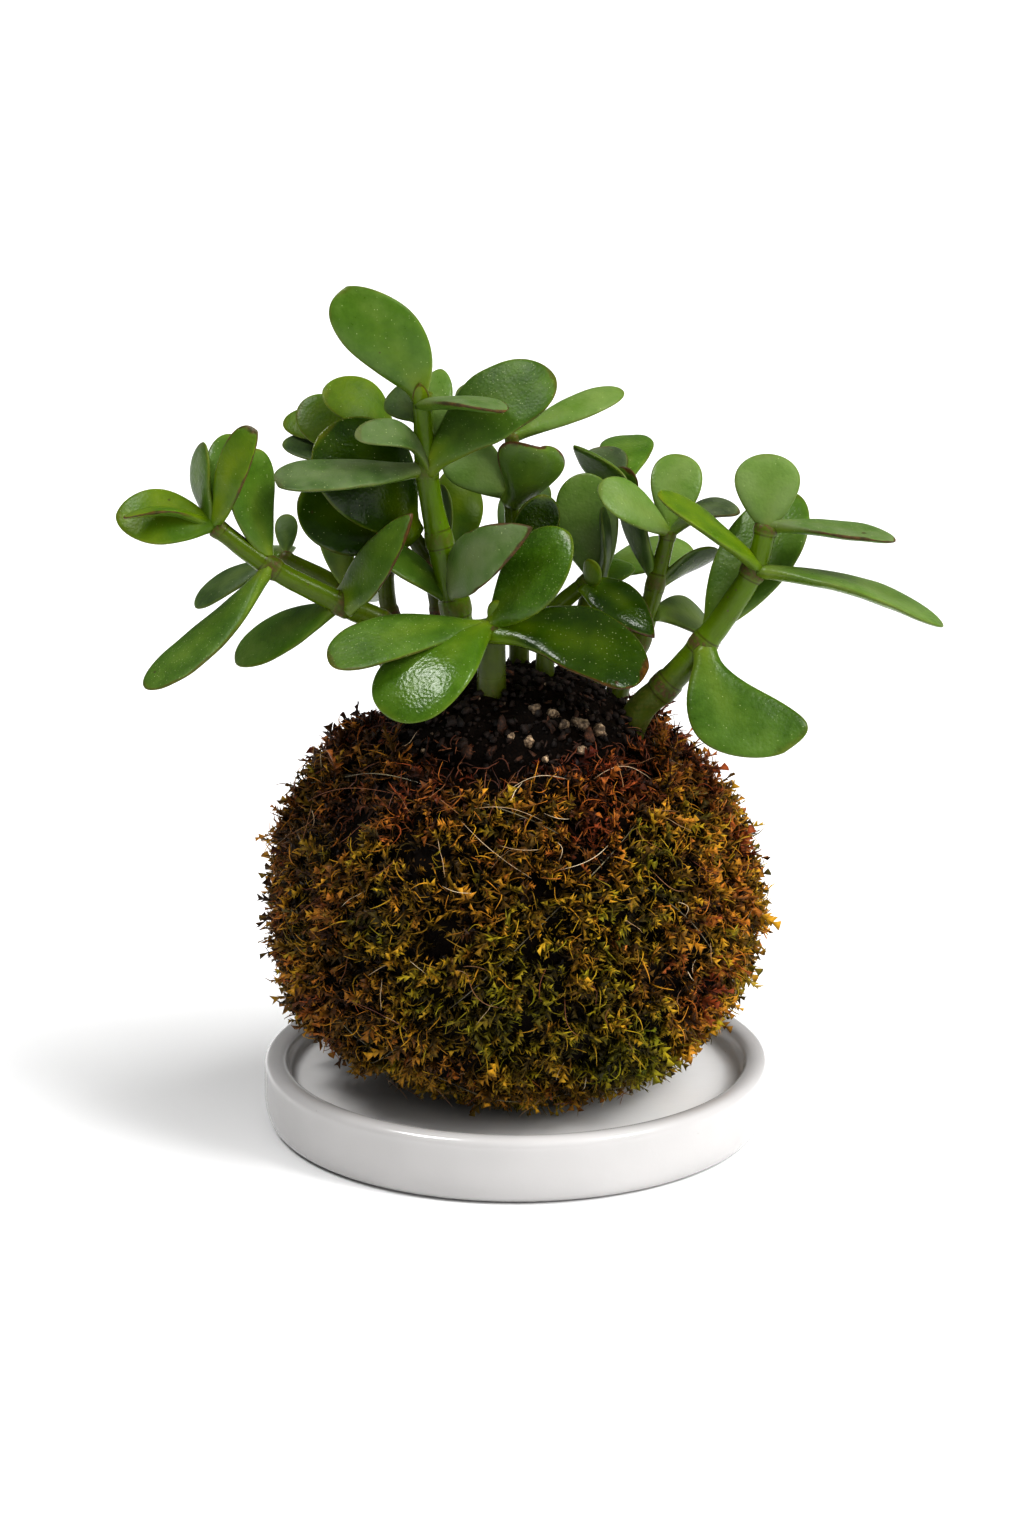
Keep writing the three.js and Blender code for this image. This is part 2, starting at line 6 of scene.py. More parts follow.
import math

import bmesh
import bpy
import numpy as np
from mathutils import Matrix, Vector


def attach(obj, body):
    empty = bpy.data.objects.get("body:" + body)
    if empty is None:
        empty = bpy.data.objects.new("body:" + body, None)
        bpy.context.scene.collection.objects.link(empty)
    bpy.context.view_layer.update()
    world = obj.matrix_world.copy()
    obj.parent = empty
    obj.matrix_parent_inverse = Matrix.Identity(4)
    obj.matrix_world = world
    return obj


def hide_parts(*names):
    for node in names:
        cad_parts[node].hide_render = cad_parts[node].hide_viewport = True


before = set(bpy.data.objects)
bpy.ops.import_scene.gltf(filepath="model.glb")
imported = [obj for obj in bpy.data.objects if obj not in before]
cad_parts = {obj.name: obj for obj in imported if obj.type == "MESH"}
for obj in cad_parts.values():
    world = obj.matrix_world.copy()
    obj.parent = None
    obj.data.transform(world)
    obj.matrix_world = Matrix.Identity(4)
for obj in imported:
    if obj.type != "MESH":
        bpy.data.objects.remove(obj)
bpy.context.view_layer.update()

MM = 0.001
BODY = "root"
random = np.random.default_rng(11)

# ------------------------------------------------------------------ sizes shared with the CAD model
SAUCER_RADIUS = 65
SAUCER_HEIGHT = 17.2
SAUCER_FOOT_RADIUS = 61
SAUCER_FLOOR_TOP = 10.5
SAUCER_FLOOR_RADIUS = 55
SAUCER_RIM_WIDTH = 6.2
SAUCER_RIM_ROUND = 3

BALL_CENTRE_Z = 56
BALL_RADIUS = 60.5
BALL_RISE = 57
BALL_DROP = 49.5
BALL_SQUARENESS = 2.1
SHOULDER_LIFT = 0.03
MOSS_THICKNESS = 7.5
MOSS_LUMP = 2
LUMP_SPACING = 23
EDGE_WANDER = 0.2
EDGE_SPACING = 14
OPENING_ANGLE = math.radians(36.5)
OPENING_BLEND = math.radians(5)
SOIL_MOUND = 4.5

THREAD_TILT = math.radians(44)
THREAD_LOOPS = 3
FIRST_THREAD_TURN = 0.4

ROOT_DEPTH = 24
ROOT_PULL = 0.12
ROOT_TAPER = 0.6
NODE_SWELLING = 0.14

LEAF_POWER = 1.45
LEAF_THICKNESS = 0.15
LEAF_THICKNESS_LEAST = 1.3
LEAF_TIP_THINNING = 0.5

# What a leaf looks like: how light its green is, how yellow, how red its margin, how speckled, how grey
# the bloom on its upper face and how glossy, each from 0 to 1.
LEAF_LOOKS = {
    "mid": (0.58, 0.12, 0.25, 0.25, 0.15, 0.60),
    "plump": (0.60, 0.12, 0.05, 0.30, 0.10, 1.00),
    "light": (0.80, 0.12, 0.15, 0.20, 0.40, 0.70),
    "matt": (0.86, 0.05, 0.10, 0.05, 0.50, 0.10),
    "bloom": (0.50, 0.00, 0.30, 0.45, 0.85, 0.50),
    "bloom_red": (0.66, 0.00, 0.95, 0.30, 0.85, 0.30),
    "dark": (0.15, 0.08, 0.30, 0.25, 0.00, 1.00),
    "dark_speckled": (0.50, 0.05, 0.25, 1.00, 0.05, 0.75),
    "dark_red": (0.15, 0.12, 0.95, 0.50, 0.00, 0.90),
    "speckled": (0.55, 0.14, 0.55, 0.90, 0.10, 0.20),
    "red": (0.45, 0.25, 1.00, 0.30, 0.10, 0.50),
    "young": (0.60, 0.65, 0.25, 0.10, 0.00, 0.30),
    "young_matt": (0.42, 0.60, 0.25, 0.10, 0.00, 0.10),
    "young_red": (0.55, 0.60, 0.90, 0.10, 0.00, 0.30),
    "olive": (0.30, 0.55, 0.40, 0.05, 0.00, 0.30),
    "purple": (0.25, 0.30, 0.90, 0.10, 0.45, 0.30),
    "bud": (0.50, 0.95, 0.80, 0.00, 0.00, 0.50),
    "back": (0.42, 0.05, 0.20, 0.15, 0.40, 0.20),
    "bloom_dark": (0.15, 0.00, 0.60, 0.20, 0.80, 0.70),
}

# What a stem looks like: how light and yellow its green is, and how brown and woody its foot.
STEM_LOOKS = {
    "bright": (0.80, 0.05),
    "green": (0.55, 0.15),
    "green_scars": (0.58, 0.28),
    "brown_scars": (0.72, 0.35),
    "olive": (0.40, 0.25),
    "woody": (0.25, 0.90),
}


def stem(foot, top, look, *nodes):
    """A stem: its radius at the soil and at its top, its look and the nodes it passes."""
    return {"foot": foot, "top": top, "look": look, "nodes": nodes}


def leaf(start, tip, width, face, look, **form):
    """A leaf: where it leaves its stem, its tip, its width, the way its upper face looks, and its look.

    form holds what differs from a plain leaf: arch lifts its middle and cup its edges, foot is the width
    of its neck as a share of its width, widest says how far along it is widest, skew moves that place to
    and fro on its two sides, and pull moves its middle.
    """
    return {"start": start, "tip": tip, "width": width, "face": face, "look": look, **form}


# Each cutting: its stem, then its leaves, in millimetres.
SHOOTS = {
    "shoot_tall": (
        stem(4, 2.3, "bright", (-12, 3, 111), (-15, -1, 134), (-19, -2, 151), (-22, -2, 168),
             (-23, -2, 187)),
        leaf((-16, -3, 141), (4, -26, 158), 15, (-0.3, -0.9, 0.5), "bloom_red", arch=0.06, foot=0.8,
             widest=0.42, pull=(-1, -3, -0.8)),
        leaf((-15, -1, 134), (-37, -3, 150), 12, (0.2, -0.5, 1), "mid"),
        leaf((-22, -2, 168), (-57.5, -17, 166.5), 15, (0, -0.45, 1), "bloom", arch=0.03, widest=0.7,
             skew=-0.1),
        leaf((-22, -2, 168), (9.5, -10, 192), 20, (-0.4, -1, 0.7), "speckled", foot=0.34,
             pull=(-1, 0, 1.6)),
        leaf((-22, -2, 169), (-39, -13, 178), 9.5, (0.2, -0.6, 0.8), "bloom", arch=0, cup=0.1, foot=0.65,
             widest=0.7, pull=(3, -1, 3.4)),
        leaf((-23, -2, 185), (-41, -4, 213), 18, (0.1, -1, 0.1), "mid", skew=0.12, widest=0.62,
             pull=(1, 0, 0)),
        leaf((-23, -2, 184), (-3, -22, 185), 12, (0, 0, 1), "bloom_red", foot=0.45),
        leaf((-22, -1, 172), (-18.5, 9, 191.5), 8.5, (0, -1, 0.3), "light", widest=0.58),
        leaf((-23, -1, 180), (-31, 7, 186), 9, (0, -1, 0.2), "back", foot=0.4),
        leaf((-23, -3, 183.5), (-23.5, -5.5, 190), 4.2, (0.1, -1, 0.2), "bud", arch=0, cup=0, foot=0.8,
             widest=0.4),
    ),
    "shoot_front": (
        stem(3.7, 3.2, "olive", (-6, -14, 111), (-6, -18, 133)),
        leaf((-6, -18, 132), (-31, -36, 114), 23, (-0.35, -0.8, 0.8), "plump", arch=0.1, widest=0.69,
             cup=0.02, pull=(0.8, 0, -0.4)),
        leaf((-6, -18, 132), (-45.5, -26, 125.5), 17, (0, -0.55, 1), "speckled", arch=0.06, widest=0.7),
        leaf((-6, -18, 131), (32, -28, 124), 23, (0, -0.66, 1), "dark_red", arch=0.1, skew=-0.12, foot=0.36,
             pull=(0, 0, -1)),
        leaf((-6, -18, 132), (13, -23, 156), 20, (-0.7, -0.8, 0.5), "dark_speckled", widest=0.6,
             pull=(0.8, 0, -0.6)),
        leaf((-6, -18, 132), (-4, -20, 139), 4.5, (0, -1, 0.3), "young", arch=0, cup=0),
    ),
    "shoot_left": (
        stem(3.4, 2.2, "green_scars", (-22, -6, 110), (-33, -6, 130), (-43, -9, 136), (-60, -13, 146),
             (-73, -14, 156)),
        leaf((-42, -9, 136), (-25, -18, 160), 13.5, (-0.8, -0.6, 0.3), "red", foot=0.75, widest=0.44,
             pull=(1, -2, -1)),
        leaf((-43, -9, 136), (-70, -3, 120.5), 14.5, (-0.1, -0.6, 0.9), "mid", arch=0, pull=(0.6, 0, 0.2)),
        leaf((-60, -13, 146), (-64, -6, 174), 14.5, (0.9, -0.9, 0), "mid", pull=(-3.6, 0, 0)),
        leaf((-60, -14, 146), (-90, -24, 118), 15, (-0.5, -0.5, 0.9), "speckled", arch=0.02,
             pull=(2.2, 0, -2)),
        leaf((-73, -14, 156), (-97, -15, 159), 15, (0, -0.8, 0.6), "young", widest=0.58),
        leaf((-73, -14, 156), (-94, -24, 160), 6.5, (0, 0, 1), "young_red", arch=0, pull=(0, 0, 2.6)),
        leaf((-73, -14, 156), (-62, -20, 180.5), 11, (-0.8, -0.9, 0.1), "young_red", pull=(-0.8, 0, 0),
             skew=0.12),
        leaf((-73, -14, 156), (-76, -9, 176), 11, (-1, -0.6, 0), "mid", pull=(-0.6, 0, 0)),
        leaf((-73, -14, 156), (-70, -2, 177), 9, (0, -1, 0.4), "mid"),
    ),
    "shoot_right": (
        stem(3.8, 2.6, "brown_scars", (30, -6, 107), (37, -8, 115), (46, -10, 126), (58, -12, 145),
             (61, -12, 156)),
        leaf((46, -11, 126), (65.5, -24, 102), 22, (0.1, -0.9, 0.6), "mid", foot=0.3, widest=0.69,
             skew=0.11, pull=(-4.2, 0, -2.8)),
        leaf((47, -9, 128), (70, 4, 161), 19.5, (-0.35, -0.9, 0.4), "mid", widest=0.6, pull=(0.4, 0, -0.4)),
        leaf((59, -13, 146), (34, -20, 165), 12.5, (0.3, -0.3, 0.9), "young_matt", foot=0.42,
             pull=(-0.4, 0, -0.6)),
        leaf((59, -13, 145), (103.5, -22, 133), 15, (0.2, -0.1, 1), "light", arch=0.06, foot=0.35),
        leaf((61, -12, 154), (61, -8, 173), 16, (0, -1, 0.2), "matt"),
        leaf((61, -12, 156), (91.5, -20, 153.5), 12, (0, -0.12, 1), "bloom_red", arch=0.03),
    ),
    "shoot_middle_right": (
        stem(3, 1.9, "green", (25, 4, 109), (31, 4, 124), (35, 4, 139), (38, 4, 152)),
        leaf((38, 4, 151), (20, -4, 164), 12.5, (0.2, -0.7, 0.7), "light"),
        leaf((38, 4, 151), (41, 14, 169.5), 13, (0, -1, 0.3), "light"),
        leaf((38, 4, 151), (55.5, 2, 157), 11, (0.1, -0.3, 1), "bloom_dark", pull=(0, 0, 2)),
        leaf((35, 4, 139), (28, 9, 163), 11, (-0.9, -0.5, 0), "back"),
        leaf((35, 4, 138), (51, 7, 146), 10, (-0.2, 0.6, 0.8), "dark", foot=0.5),
        leaf((34, 4, 131), (51, 20, 122), 15, (0, -0.8, 1), "purple", foot=0.35, pull=(0, 0, 1)),
    ),
    "shoot_centre": (
        stem(2.7, 1.6, "green", (1, 12, 112), (0, 12, 139), (-1, 10, 159), (-1, 10, 175)),
        leaf((-1, 10, 174), (27, 21, 184.5), 9, (-0.3, -0.8, 0.9), "light", foot=0.3, pull=(0, 0, -0.8)),
        leaf((-1, 10, 174), (-14, 16, 186), 10, (0, -0.8, 0.8), "back"),
        leaf((-1, 9, 158), (6, -4, 174), 18, (0, 0.6, 1), "red", arch=-0.05, cup=0.15, widest=0.7,
             skew=-0.1, foot=0.35),
        leaf((-1, 10, 159), (-17, 16, 171), 14, (0, -0.8, 0.5), "matt"),
        leaf((0, 11, 141), (7, -2, 162), 12, (0.3, -0.8, 0.5), "dark"),
        leaf((0, 12, 141), (4, 34, 160), 14, (0, 0.4, 1), "back"),
    ),
    "shoot_dark": (
        stem(2.8, 1.9, "woody", (-17, 12, 111), (-19, 12, 129), (-22, 12, 142), (-28, 10, 153)),
        leaf((-26, 10, 149), (-48, 0, 177), 26, (0.3, -0.9, 0.4), "dark", foot=0.3, pull=(1.6, -1, 0.4)),
        leaf((-27, 10, 149), (-54, 2, 160), 20, (0.1, -0.9, 0.4), "dark", foot=0.35, pull=(0, 1, -1)),
        leaf((-21, 12, 142), (-14, 26, 165), 14, (0.2, -1, 0.1), "olive", widest=0.5, pull=(1.6, 0, 0)),
        leaf((-21, 11, 142), (-18, 6, 163), 9, (-1, -0.7, 0), "back", pull=(2, 0, 0)),
    ),
    "shoot_woody": (
        stem(2.6, 1.6, "woody", (-23, 20, 108), (-32, 20, 127), (-33, 20, 140), (-31, 18, 173)),
        leaf((-31, 17, 173), (-48, 12, 186), 14, (0.3, -0.8, 0.7), "young_matt", foot=0.35,
             pull=(2.2, 0, 0.8)),
        leaf((-31, 18, 171), (-55, 20, 180), 14, (0, -0.8, 0.5), "olive", foot=0.3, pull=(0, 0, -1)),
        leaf((-31, 18, 172), (-59, 27, 176), 10, (0, -0.8, 0.6), "young"),
        leaf((-31, 18, 170), (-59, 22, 171), 11, (0, -0.5, 1), "back", pull=(0, 0, -2.6)),
        leaf((-32, 19, 156), (-47, 44, 162), 13, (0, 0.2, 1), "back"),
        leaf((-32, 19, 156), (-17, 42, 158), 12, (0, 0.2, 1), "mid"),
        leaf((-33, 20, 140), (-36, 48, 146), 14, (0, 0.3, 1), "mid"),
    ),
    "shoot_back_left": (
        stem(2.5, 1.8, "olive", (-29, 9, 108), (-44, 26, 132), (-60, 28, 141)),
        leaf((-60, 28, 140), (-83, 30, 127.5), 10.5, (0, -0.5, 1), "back"),
        leaf((-59, 28, 141), (-59, 33, 151), 6, (0, -1, 0.2), "back"),
        leaf((-44, 26, 132.5), (-48, 24, 152), 8.5, (0, -1, 0.2), "olive", pull=(0.8, 0, 0)),
        leaf((-60, 28, 140), (-67, 50, 138), 14, (0, 0.2, 1), "mid"),
        leaf((-45, 26, 132), (-38, 54, 124), 13, (0, 0.3, 1), "mid"),
    ),
    "shoot_low": (
        stem(2.5, 2, "green", (7, 0, 112), (9, 0, 131), (18, -4, 141)),
        leaf((17, -4, 140), (34, -12, 128), 12, (0.2, -0.7, 0.7), "dark_red", arch=0.1, foot=0.6,
             widest=0.42),
        leaf((18, -4, 140), (20, -10, 146), 7, (0, -0.8, 0.6), "young"),
    ),
    "shoot_inner_right": (
        stem(2.4, 1.8, "green", (19, 10, 110), (21, 10, 137)),
        leaf((21, 11, 136), (16.5, 12, 165), 16, (-0.2, -1, 0.2), "light", foot=0.34),
        leaf((21, 10, 136), (21, 2, 158), 9, (1, -0.2, 0), "back"),
        leaf((21, 10, 136), (28, 20, 141), 9, (0, -0.5, 1), "mid"),
    ),
    "shoot_back_right": (
        stem(2.7, 1.7, "olive", (14, 24, 109), (20, 30, 135), (27, 30, 160)),
        leaf((26, 30, 157), (14.5, 16, 171.5), 12, (-0.7, -0.9, 0.1), "mid", foot=0.45, widest=0.42,
             pull=(2.6, 0, 0.6)),
        leaf((25.5, 30, 158), (22, 42, 167), 11, (0, -0.5, 1), "bloom_dark", foot=0.3),
        leaf((26, 30, 154), (29, 26, 164), 8, (-0.6, -1, 0.2), "red", pull=(0.8, 0, 0)),
        leaf((20, 30, 135), (46, 38, 141), 14, (0, -0.5, 1), "light"),
        leaf((20, 30, 135), (8, 54, 148), 14, (0, 0.3, 1), "mid"),
        leaf((27, 30, 158), (30, 56, 168), 14, (0, 0.2, 1), "mid"),
    ),
}


# ------------------------------------------------------------------ vectors and noise
def unit(vectors):
    """The vectors at length 1."""
    vectors = np.asarray(vectors, float)
    return vectors / np.linalg.norm(vectors, axis=-1, keepdims=True)


def smoothstep(values, low, high):
    """0 below low, 1 above high, and a smooth rise between them."""
    share = np.clip((values - low) / (high - low), 0, 1)
    return share * share * (3 - 2 * share)


def circle(count):
    """Angles evenly round a circle."""
    return np.linspace(0, 2 * math.pi, count, endpoint=False)


def lattice_hash(i, j, k):
    """A repeatable number from 0 to 1 for each point of a lattice."""
    s = np.sin(i * 127.1 + j * 311.7 + k * 74.7) * 43758.5453
    return s - np.floor(s)


def lattice_noise(points, size):
    """Smooth noise from 0 to 1, whose lattice cells measure size."""
    cell = np.floor(points / size)
    part = points / size - cell
    part = part * part * (3 - 2 * part)
    total = np.zeros(len(points))
    for corner in range(8):
        step = np.array([corner & 1, (corner >> 1) & 1, corner >> 2])
        share = np.prod(np.where(step == 1, part, 1 - part), axis=1)
        total += share * lattice_hash(*(cell + step).T)
    return total


# ------------------------------------------------------------------ shapes
class Shape:
    """Points in millimetres with their faces, and a few numbers for each point that the materials read."""

    def __init__(self):
        self.count = 0
        self.points = []
        self.faces = {3: [], 4: []}
        self.numbers = {}

    def add(self, points, quads=(), triangles=(), **numbers):
        """Adds points, an (n, 3) array, their faces, and one array of numbers or one number a name."""
        for corners, faces in ((4, quads), (3, triangles)):
            if len(faces):
                self.faces[corners].append(np.asarray(faces) + self.count)
        for name, value in numbers.items():
            self.numbers.setdefault(name, []).append(np.broadcast_to(value, len(points)))
        self.points.append(points)
        self.count += len(points)

    def add_loft(self, rings, start=None, end=None, **numbers):
        """Adds a tube through rings, closed at the points start and end."""
        points, quads, caps = loft(rings, start, end)
        self.add(points, quads, caps, **numbers)

    def make(self, name, material, slot, *stands_for, flat=False):
        """Makes it a Blender object that rides on the plant's body."""
        mesh = bpy.data.meshes.new(name)
        faces = [np.concatenate(group) for group in self.faces.values() if group]
        loops = np.concatenate([group.ravel() for group in faces])
        corners = np.concatenate([np.full(len(group), group.shape[1]) for group in faces])
        mesh.vertices.add(self.count)
        mesh.vertices.foreach_set("co", (np.concatenate(self.points) * MM).astype(np.float32).ravel())
        mesh.loops.add(len(loops))
        mesh.loops.foreach_set("vertex_index", loops.astype(np.int32))
        mesh.polygons.add(len(corners))
        mesh.polygons.foreach_set("loop_start", (np.cumsum(corners) - corners).astype(np.int32))
        mesh.update(calc_edges=True)
        if not flat:
            mesh.shade_smooth()
        for number, values in self.numbers.items():
            layer = mesh.attributes.new(number, "FLOAT", "POINT")
            layer.data.foreach_set("value", np.concatenate(values).astype(np.float32))
        mesh.materials.append(material)
        piece = bpy.data.objects.new(name, mesh)
        bpy.context.scene.collection.objects.link(piece)
        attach(piece, BODY)
        if stands_for:
            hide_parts(*stands_for)
        return piece


def loft(rings, start=None, end=None):
    """Points, quads and triangles of a tube through rings, an (n, sides, 3) array.

    It closes at the points start and end, or without them joins its last ring to its first.
    """
    count, sides = rings.shape[:2]
    points = rings.reshape(-1, 3)
    ring = np.arange(sides)
    bands = np.arange(count if start is None else count - 1)[:, None]
    low, high = bands * sides, (bands + 1) % count * sides
    after = (ring + 1) % sides
    quads = np.stack([low + ring, low + after, high + after, high + ring], axis=-1).reshape(-1, 4)
    if start is None:
        return points, quads, ()
    first, last = count * sides, (count - 1) * sides
    caps = [(first, after[j], j) for j in ring] + [(first + 1, last + j, last + after[j]) for j in ring]
    return np.concatenate([points, [start, end]]), quads, caps


def tube(path, radii, sides, closed=False):
    """Rings of a round tube along path, an (n, 3) array."""
    if closed:
        tangents = unit(np.roll(path, -1, axis=0) - np.roll(path, 1, axis=0))
    else:
        tangents = unit(np.gradient(path, axis=0))
    across = np.array([1.0, 0, 0]) if abs(tangents[0][0]) < 0.9 else np.array([0, 1.0, 0])
    turns = circle(sides)
    rings = []
    for point, tangent, radius in zip(path, tangents, np.broadcast_to(radii, len(path))):
        across = unit(across - tangent * (across @ tangent))
        other = np.cross(tangent, across)
        rings.append(point + radius * (np.outer(np.cos(turns), across) + np.outer(np.sin(turns), other)))
    return np.array(rings)


def frames(along, flat_to):
    """For each row: axes whose z is along, and whose y is as near to flat_to as it can be."""
    z = unit(along)
    x = unit(np.cross(flat_to, z))
    return np.stack([x, np.cross(z, x), z], axis=1)


def scatter(shape, model, places, axes, sizes, **numbers):
    """Adds a copy of model, a (points, triangles, heights) triple, at each place."""
    points, triangles, heights = model
    copies = len(places)
    if not copies:
        return
    placed = places[:, None, :] + np.einsum("pk,nkj->npj", points, axes) * np.reshape(sizes, (-1, 1, 1))
    offsets = np.arange(copies)[:, None, None] * len(points)
    spread = {name: np.repeat(value, len(points)) for name, value in numbers.items()}
    shape.add(
        placed.reshape(-1, 3),
        triangles=(np.asarray(triangles)[None] + offsets).reshape(-1, 3),
        height=np.tile(heights, copies),
        **spread,
    )


# ------------------------------------------------------------------ materials
def linear(red, green, blue):
    """A colour given as it shows on a screen, from 0 to 255, in the numbers that a shader takes."""
    shares = (value / 255 for value in (red, green, blue))
    return (*(s / 12.92 if s <= 0.04045 else ((s + 0.055) / 1.055) ** 2.4 for s in shares), 1.0)


class Material:
    """A node material in the making."""

    def __init__(self, name, **settings):
        self.made = bpy.data.materials.new(name)
        self.made.use_nodes = True
        self.tree = self.made.node_tree
        self.shader = self.tree.nodes["Principled BSDF"]
        self.place = self.tree.nodes.new("ShaderNodeTexCoord").outputs["Object"]
        for socket, value in settings.items():
            self.shader.inputs[socket.replace("_", " ")].default_value = value

    def join(self, socket, value):
        """Links value to a socket, or sets it there if it is a number or a colour as a screen shows it."""
        if isinstance(value, bpy.types.NodeSocket):
            self.tree.links.new(value, socket)
        elif isinstance(value, tuple):
            socket.default_value = linear(*value)
        else:
            socket.default_value = value

    def node(self, kind, inputs=(), **settings):
        """Adds a node. inputs are pairs of a socket's name or number and its value."""
        made = self.tree.nodes.new("ShaderNode" + kind)
        for setting, value in settings.items():
            setattr(made, setting, value)
        for socket, value in inputs:
            self.join(made.inputs[socket], value)
        return made

    def numbers(self, *names):
        """The numbers that each point of a shape has by those names."""
        return [self.node("Attribute", attribute_name=name).outputs["Fac"] for name in names]

    def math(self, operation, a, b=0.0, c=0.0, clamp=False):
        inputs = ((0, a), (1, b), (2, c))
        return self.node("Math", inputs, operation=operation, use_clamp=clamp).outputs[0]

    def plus(self, a, b, clamp=False):
        return self.math("ADD", a, b, clamp=clamp)

    def times(self, a, b, clamp=False):
        return self.math("MULTIPLY", a, b, clamp=clamp)

    def scaled(self, value, factor, added, clamp=False):
        return self.math("MULTIPLY_ADD", value, factor, added, clamp)

    def below(self, a, b):
        return self.math("LESS_THAN", a, b)

    def sway(self, value, noise, width, clamp=False):
        """value, moved to and fro by noise over that width."""
        return self.plus(value, self.scaled(noise, width, -width / 2), clamp)

    def mix(self, share, a, b, blend="MIX"):
        inputs = ((0, share), (6, a), (7, b))
        return self.node("Mix", inputs, data_type="RGBA", blend_type=blend).outputs[2]

    def step(self, value, low, high, to_low=0.0, to_high=1.0):
        """to_low below low, to_high above high, and a smooth change between them."""
        inputs = ((0, value), (1, low), (2, high), (3, to_low), (4, to_high))
        return self.node("MapRange", inputs, interpolation_type="SMOOTHSTEP").outputs[0]

    def noise(self, size, detail, roughness=0.5):
        """Noise from about 0 to 1 whose features measure size millimetres."""
        scale = 1 / (size * MM)
        inputs = (("Vector", self.place), ("Scale", scale), ("Detail", detail), ("Roughness", roughness))
        return self.node("TexNoise", inputs).outputs[0]

    def cells(self, size, feature="F1"):
        """How far each place is from the middle of its cell, and three random numbers for each cell.

        Cells measure size millimetres, and distances are in cells.
        """
        inputs = (("Vector", self.place), ("Scale", 1 / (size * MM)))
        made = self.node("TexVoronoi", inputs, feature=feature)
        return made.outputs["Distance"], self.node("SeparateColor", ((0, made.outputs["Color"]),)).outputs

    def ramp(self, share, *stops):
        """Colours, as a screen shows them, at places from 0 to 1, with even changes between them."""
        made = self.node("ValToRGB", ((0, share),))
        elements = made.color_ramp.elements
        for element, (place, colour) in zip(elements, (stops[0], stops[-1])):
            element.position, element.color = place, linear(*colour)
        for place, colour in stops[1:-1]:
            elements.new(place).color = linear(*colour)
        return made.outputs[0]

    def bump(self, height, depth, under=None):
        """The normal of a surface whose height, from 0 to 1, spans depth millimetres."""
        inputs = [("Height", height), ("Strength", 1.0), ("Distance", depth * MM)]
        if under is not None:
            inputs.append(("Normal", under))
        return self.node("Bump", inputs).outputs[0]

    def finish(self, colour, roughness, normal=None):
        """Joins the main sockets and gives the material."""
        self.join(self.shader.inputs["Base Color"], colour)
        self.join(self.shader.inputs["Roughness"], roughness)
        if normal is not None:
            self.join(self.shader.inputs["Normal"], normal)
        return self.made


def leaf_material():
    """Fleshy green leaves: yellower feet, thin brown margins, pale pores and a broken satin gloss."""
    m = Material(
        "jade_leaf",
        Subsurface_Weight=0.1,
        Subsurface_Radius=(1.2 * MM, 1.8 * MM, 0.4 * MM),
        Subsurface_Scale=1.0,
        Specular_IOR_Level=0.3,
    )
    share, rim, across, top = m.numbers("leaf_share", "leaf_rim", "leaf_across", "leaf_top")
    tone, yellow, red = m.numbers("leaf_tone", "leaf_yellow", "leaf_red")
    speckled, bloom, gloss = m.numbers("leaf_speckled", "leaf_bloom", "leaf_gloss")
    clouds, mottle = m.noise(8, 2), m.noise(1.6, 3, 0.6)
    shade = m.sway(tone, clouds, 0.44)
    shade = m.sway(shade, mottle, 0.24, clamp=True)
    green = m.ramp(
        shade,
        (0.0, (8, 28, 1)),
        (0.3, (26, 54, 1)),
        (0.6, (62, 96, 8)),
        (1.0, (106, 134, 56)),
    )
    lime = m.ramp(clouds, (0.3, (74, 104, 2)), (0.75, (108, 124, 4)))
    foot = m.step(share, 0.02, 0.28, 0.7, 0.0)
    glow = m.step(rim, 0.0, 0.8, 0.5, 0.0)
    rib = m.times(m.step(across, 0.0, 0.6, 0.3, 0.0), m.step(share, 0.3, 0.9, 1.0, 0.2))
    lit = m.plus(m.plus(yellow, foot), m.plus(glow, rib), clamp=True)
    colour = m.mix(lit, green, lime)
    film = m.times(m.times(bloom, top), m.step(clouds, 0.3, 0.65, 0.3, 0.75))
    colour = m.mix(film, colour, (104, 114, 84))
    pale = m.times(m.math("SUBTRACT", 1.0, top), 0.2)
    colour = m.mix(pale, colour, (94, 114, 62))
    distance, chances = m.cells(0.7)
    chosen = m.below(chances[0], m.times(speckled, 0.8))
    size = m.scaled(chances[1], 0.1, 0.09)
    pore = m.times(m.step(m.math("DIVIDE", distance, size), 0.7, 1.3, 1.0, 0.0), chosen)
    colour = m.mix(m.times(pore, 0.42), colour, (196, 204, 150))
    blotches = m.noise(6, 3)
    reach = m.math("MAXIMUM", m.scaled(blotches, 2.0, -0.6), 0.1)
    reach = m.times(reach, m.step(share, 0.7, 1.0, 1.0, 1.7))
    margin = m.times(m.step(m.math("DIVIDE", rim, reach), 0.4, 1.0, 1.0, 0.0), red)
    margin = m.times(margin, m.step(share, 0.2, 0.5))
    brown = m.ramp(mottle, (0.35, (40, 17, 6)), (0.65, (84, 42, 18)))
    colour = m.mix(m.times(margin, 0.9, clamp=True), colour, brown)
    distance, chances = m.cells(7.5)
    far = m.sway(distance, mottle, 0.16)
    scar = m.times(m.step(far, 0.05, 0.085, 1.0, 0.0), m.below(chances[1], 0.3))
    colour = m.mix(m.times(scar, 0.7), colour, (58, 38, 18))
    roughness = m.plus(m.scaled(mottle, 0.24, 0.36), m.times(gloss, -0.3))
    roughness = m.plus(roughness, m.times(film, 0.3))
    normal = m.bump(m.cells(0.8, "SMOOTH_F1")[0], 0.07)
    normal = m.bump(m.noise(0.45, 2), 0.035, normal)
    normal = m.bump(m.noise(4.5, 1), 0.13, normal)
    return m.finish(colour, roughness, normal)


